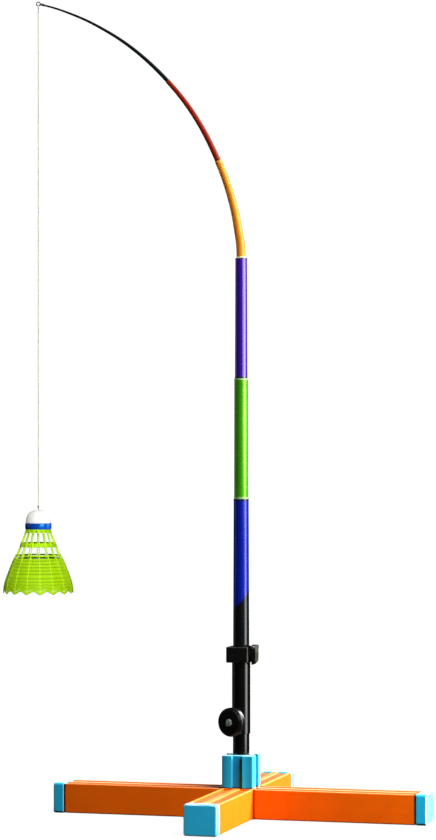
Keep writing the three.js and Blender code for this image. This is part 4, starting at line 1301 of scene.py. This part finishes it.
def facing(direction):
    n = nt.nodes.new("ShaderNodeVectorMath")
    n.operation = "DOT_PRODUCT"
    n.inputs[1].default_value = tuple(direction)
    nt.links.new(coords.outputs["Generated"], n.inputs[0])
    return n.outputs["Value"]


def bearing(degrees):
    """A level direction, counted to the right of where the camera is."""
    a = math.radians(degrees)
    return BACK * math.cos(a) + RIGHT * math.sin(a)


coords = nt.nodes.new("ShaderNodeTexCoord")
height = facing((0, 0, 1))
behind = wrange(facing(bearing(180)), 0.1, 0.8, 0.0, 1.0)
high = wrange(height, 0.06, 0.20, 0.0, 1.0)
total_ = wmath("ADD", wmath("MULTIPLY", wmath("MULTIPLY", behind, high), WORLD_BACK), WORLD_BASE)
seen = nt.nodes.new("ShaderNodeBackground")
seen.inputs[0].default_value = (1, 1, 1, 1)
seen.inputs[1].default_value = 1.05
lit = nt.nodes.new("ShaderNodeBackground")
lit.inputs[0].default_value = (1, 1, 1, 1)
nt.links.new(total_, lit.inputs[1])
path_ = nt.nodes.new("ShaderNodeLightPath")
mixer = nt.nodes.new("ShaderNodeMixShader")
out_ = nt.nodes.new("ShaderNodeOutputWorld")
nt.links.new(path_.outputs["Is Camera Ray"], mixer.inputs[0])
nt.links.new(lit.outputs[0], mixer.inputs[1])
nt.links.new(seen.outputs[0], mixer.inputs[2])
nt.links.new(mixer.outputs[0], out_.inputs[0])


def aimed(name, kind, location, target, **properties):
    data = bpy.data.lights.new(name, kind)
    for k, v in properties.items():
        setattr(data, k, v)
    ob = bpy.data.objects.new(name, data)
    scene.collection.objects.link(ob)
    ob.location = location
    ob.rotation_euler = (Vector(target) - Vector(location)).to_track_quat("-Z", "Y").to_euler()
    ob.visible_camera = False
    return ob


def around(degrees, distance, elevation, middle=0.0):
    """A place at an angle to the right of the camera's direction, seen from the middle of the object."""
    d = bearing(degrees) * math.cos(math.radians(elevation)) + Vector((0, 0, math.sin(math.radians(elevation))))
    return (d.x * distance, d.y * distance, d.z * distance + middle)


def strip(name, degrees, distance, width, tall, radiance, middle=0.55, color=(1, 1, 1)):
    """An upright light strip of a given radiance."""
    place = around(degrees, distance, 0, middle)
    return aimed(name, "AREA", place, (0, 0, middle), shape="RECTANGLE", size=width, size_y=tall, energy=radiance * math.pi * width * tall, color=color)


# three groups are lit apart: the base and the floor, the upright with the rod, and the shuttlecock with its line
groups = {key: bpy.data.collections.new(f"lit_{key}") for key in ("base", "upright", "straight", "bend", "shuttle", "band", "ribbon", "caps", "nearest", "farthest", "grip", "lever", "floor")}
groups["floor"].objects.link(floor)
for ob in scene.objects:
    if ob.type == "MESH" and ob.name in NAMES:
        if ob.name in BASE_NAMES:
            groups["base"].objects.link(ob)
            if ob.name.startswith("end_cap"):
                groups["caps"].objects.link(ob)
            if ob.name == "end_cap_front":
                groups["nearest"].objects.link(ob)
            if ob.name == "end_cap_rear":
                groups["farthest"].objects.link(ob)
        elif ob.name in SHUTTLE_NAMES:
            groups["shuttle"].objects.link(ob)
            if ob.name == "cork_head":
                groups["band"].objects.link(ob)
        elif ob.name == "cork_band":
            groups["band"].objects.link(ob)
            groups["ribbon"].objects.link(ob)
        else:
            groups["upright"].objects.link(ob)
            groups["bend" if ob.name in ("orange_rod", "red_rod", "tip_rod") else "straight"].objects.link(ob)
            if ob.name in ("round_knob", "knob_screw"):
                groups["grip"].objects.link(ob)
            if ob.name == "flip_lever":
                groups["lever"].objects.link(ob)


def on(light, key):
    light.light_linking.receiver_collection = groups[key]
    return light


on(strip("strip_low", 69, 0.75, 0.36, 0.50, STRIP_LOW, 0.13), "upright")
on(strip("strip_low_wide", 64, 0.75, 0.62, 0.50, 0.8, 0.13), "upright")
on(strip("strip_high", 66, 0.75, 0.46, 0.80, STRIP_HIGH, 0.78), "upright")
on(strip("strip_wide", 62, 0.85, 1.25, 0.80, STRIP_WIDE, 0.80), "upright")
on(strip("strip_left_low", -104, 0.75, 0.24, 0.50, STRIP_LEFT, 0.13, (0.85, 1.0, 0.88)), "upright")
on(strip("strip_left_high", -106, 0.75, 0.30, 0.80, STRIP_LEFT_HIGH, 0.78, (0.85, 1.0, 0.92)), "upright")
on(strip("strip_band", 95, 0.75, 0.34, 0.60, STRIP_BAND, 0.40), "band")
on(aimed("glint", "AREA", around(137, 0.8, 25, 0.13), (0, 0, 0.13), shape="RECTANGLE", size=0.50, size_y=0.46, energy=GLINT * math.pi * 0.23), "grip")
on(aimed("glint_lever", "AREA", around(149, 0.8, 3, 0.20), (0, 0, 0.20), shape="RECTANGLE", size=0.40, size_y=0.40, energy=GLINT_LEVER * math.pi * 0.16, color=(0.85, 1.0, 0.75)), "lever")
on(aimed("key_band", "SUN", around(36, 3.0, 15), (0, 0, 0.0), angle=math.radians(40), energy=KEY_BAND), "ribbon")
on(aimed("side_cork", "SUN", around(104, 3.0, 24), (0, 0, 0.0), angle=math.radians(60), energy=SIDE_CORK), "band")
on(aimed("side_cork_left", "SUN", around(-96, 3.0, 20), (0, 0, 0.0), angle=math.radians(60), energy=0.25 * SIDE_CORK, color=(1.0, 0.92, 0.80)), "band")
on(aimed("rim_caps", "SUN", around(149, 3.0, 4), (0, 0, 0.0), angle=math.radians(34), energy=RIM_CAPS), "caps")
on(aimed("back_caps", "AREA", around(180, 3.2, 9), (0, 0, 0.0), shape="RECTANGLE", size=6.0, size_y=0.9, energy=BACK_CAPS * math.pi * 5.4), "caps")
on(aimed("farthest", "SUN", around(-15, 3.0, 20), (0, 0, 0.0), angle=math.radians(30), energy=4.5, color=(1.0, 0.90, 0.80)), "farthest")
on(aimed("nearest", "SUN", around(-15, 3.0, 10), (0, 0, 0.0), angle=math.radians(30), energy=0.45), "nearest")
on(aimed("key", "SUN", around(84, 3.0, 22), (0, 0, 0.0), angle=math.radians(14), energy=KEY, color=(1.0, 0.985, 0.95)), "base")
on(aimed("rim", "SUN", around(149, 3.0, 4), (0, 0, 0.0), angle=math.radians(28), energy=RIM), "base")
on(aimed("back", "AREA", around(180, 3.2, 9), (0, 0, 0.0), shape="RECTANGLE", size=6.0, size_y=0.9, energy=BACK_LIGHT * math.pi * 5.4), "base")
on(aimed("key_floor", "SUN", around(70, 3.0, 50), (0, 0, 0.0), angle=math.radians(50), energy=KEY_FLOOR), "floor")
on(aimed("key_upright", "SUN", around(72, 3.0, 26), (0, 0, 0.0), angle=math.radians(34), energy=KEY_UPRIGHT), "straight")
on(aimed("key_bend", "SUN", around(98, 3.0, 30), (0, 0, 0.0), angle=math.radians(40), energy=KEY_BEND, color=(1.0, 0.94, 0.72)), "bend")
on(aimed("key_shuttle", "SUN", around(14, 3.0, 26), (0, 0, 0.0), angle=math.radians(44), energy=KEY_SHUTTLE), "shuttle")
on(aimed("fill", "AREA", around(50, 2.0, 46), (0, 0, 0.0), shape="RECTANGLE", size=0.9, size_y=0.9, energy=FILL), "base")
on(aimed("fill_upright", "SUN", around(-30, 3.0, 36), (0, 0, 0.0), angle=math.radians(30), energy=FILL_UPRIGHT), "upright")

scene.view_settings.view_transform = "Standard"
scene.view_settings.look = "None"
scene.view_settings.exposure = 0.0
scene.view_settings.gamma = 1.0

for name, polygons, opened, loose in REPORT:
    if opened or loose:
        print(f"OPEN {name}: {opened} open edges, {loose} loose points, {polygons} faces")
print("pieces", len(REPORT), "faces", sum(r[1] for r in REPORT))
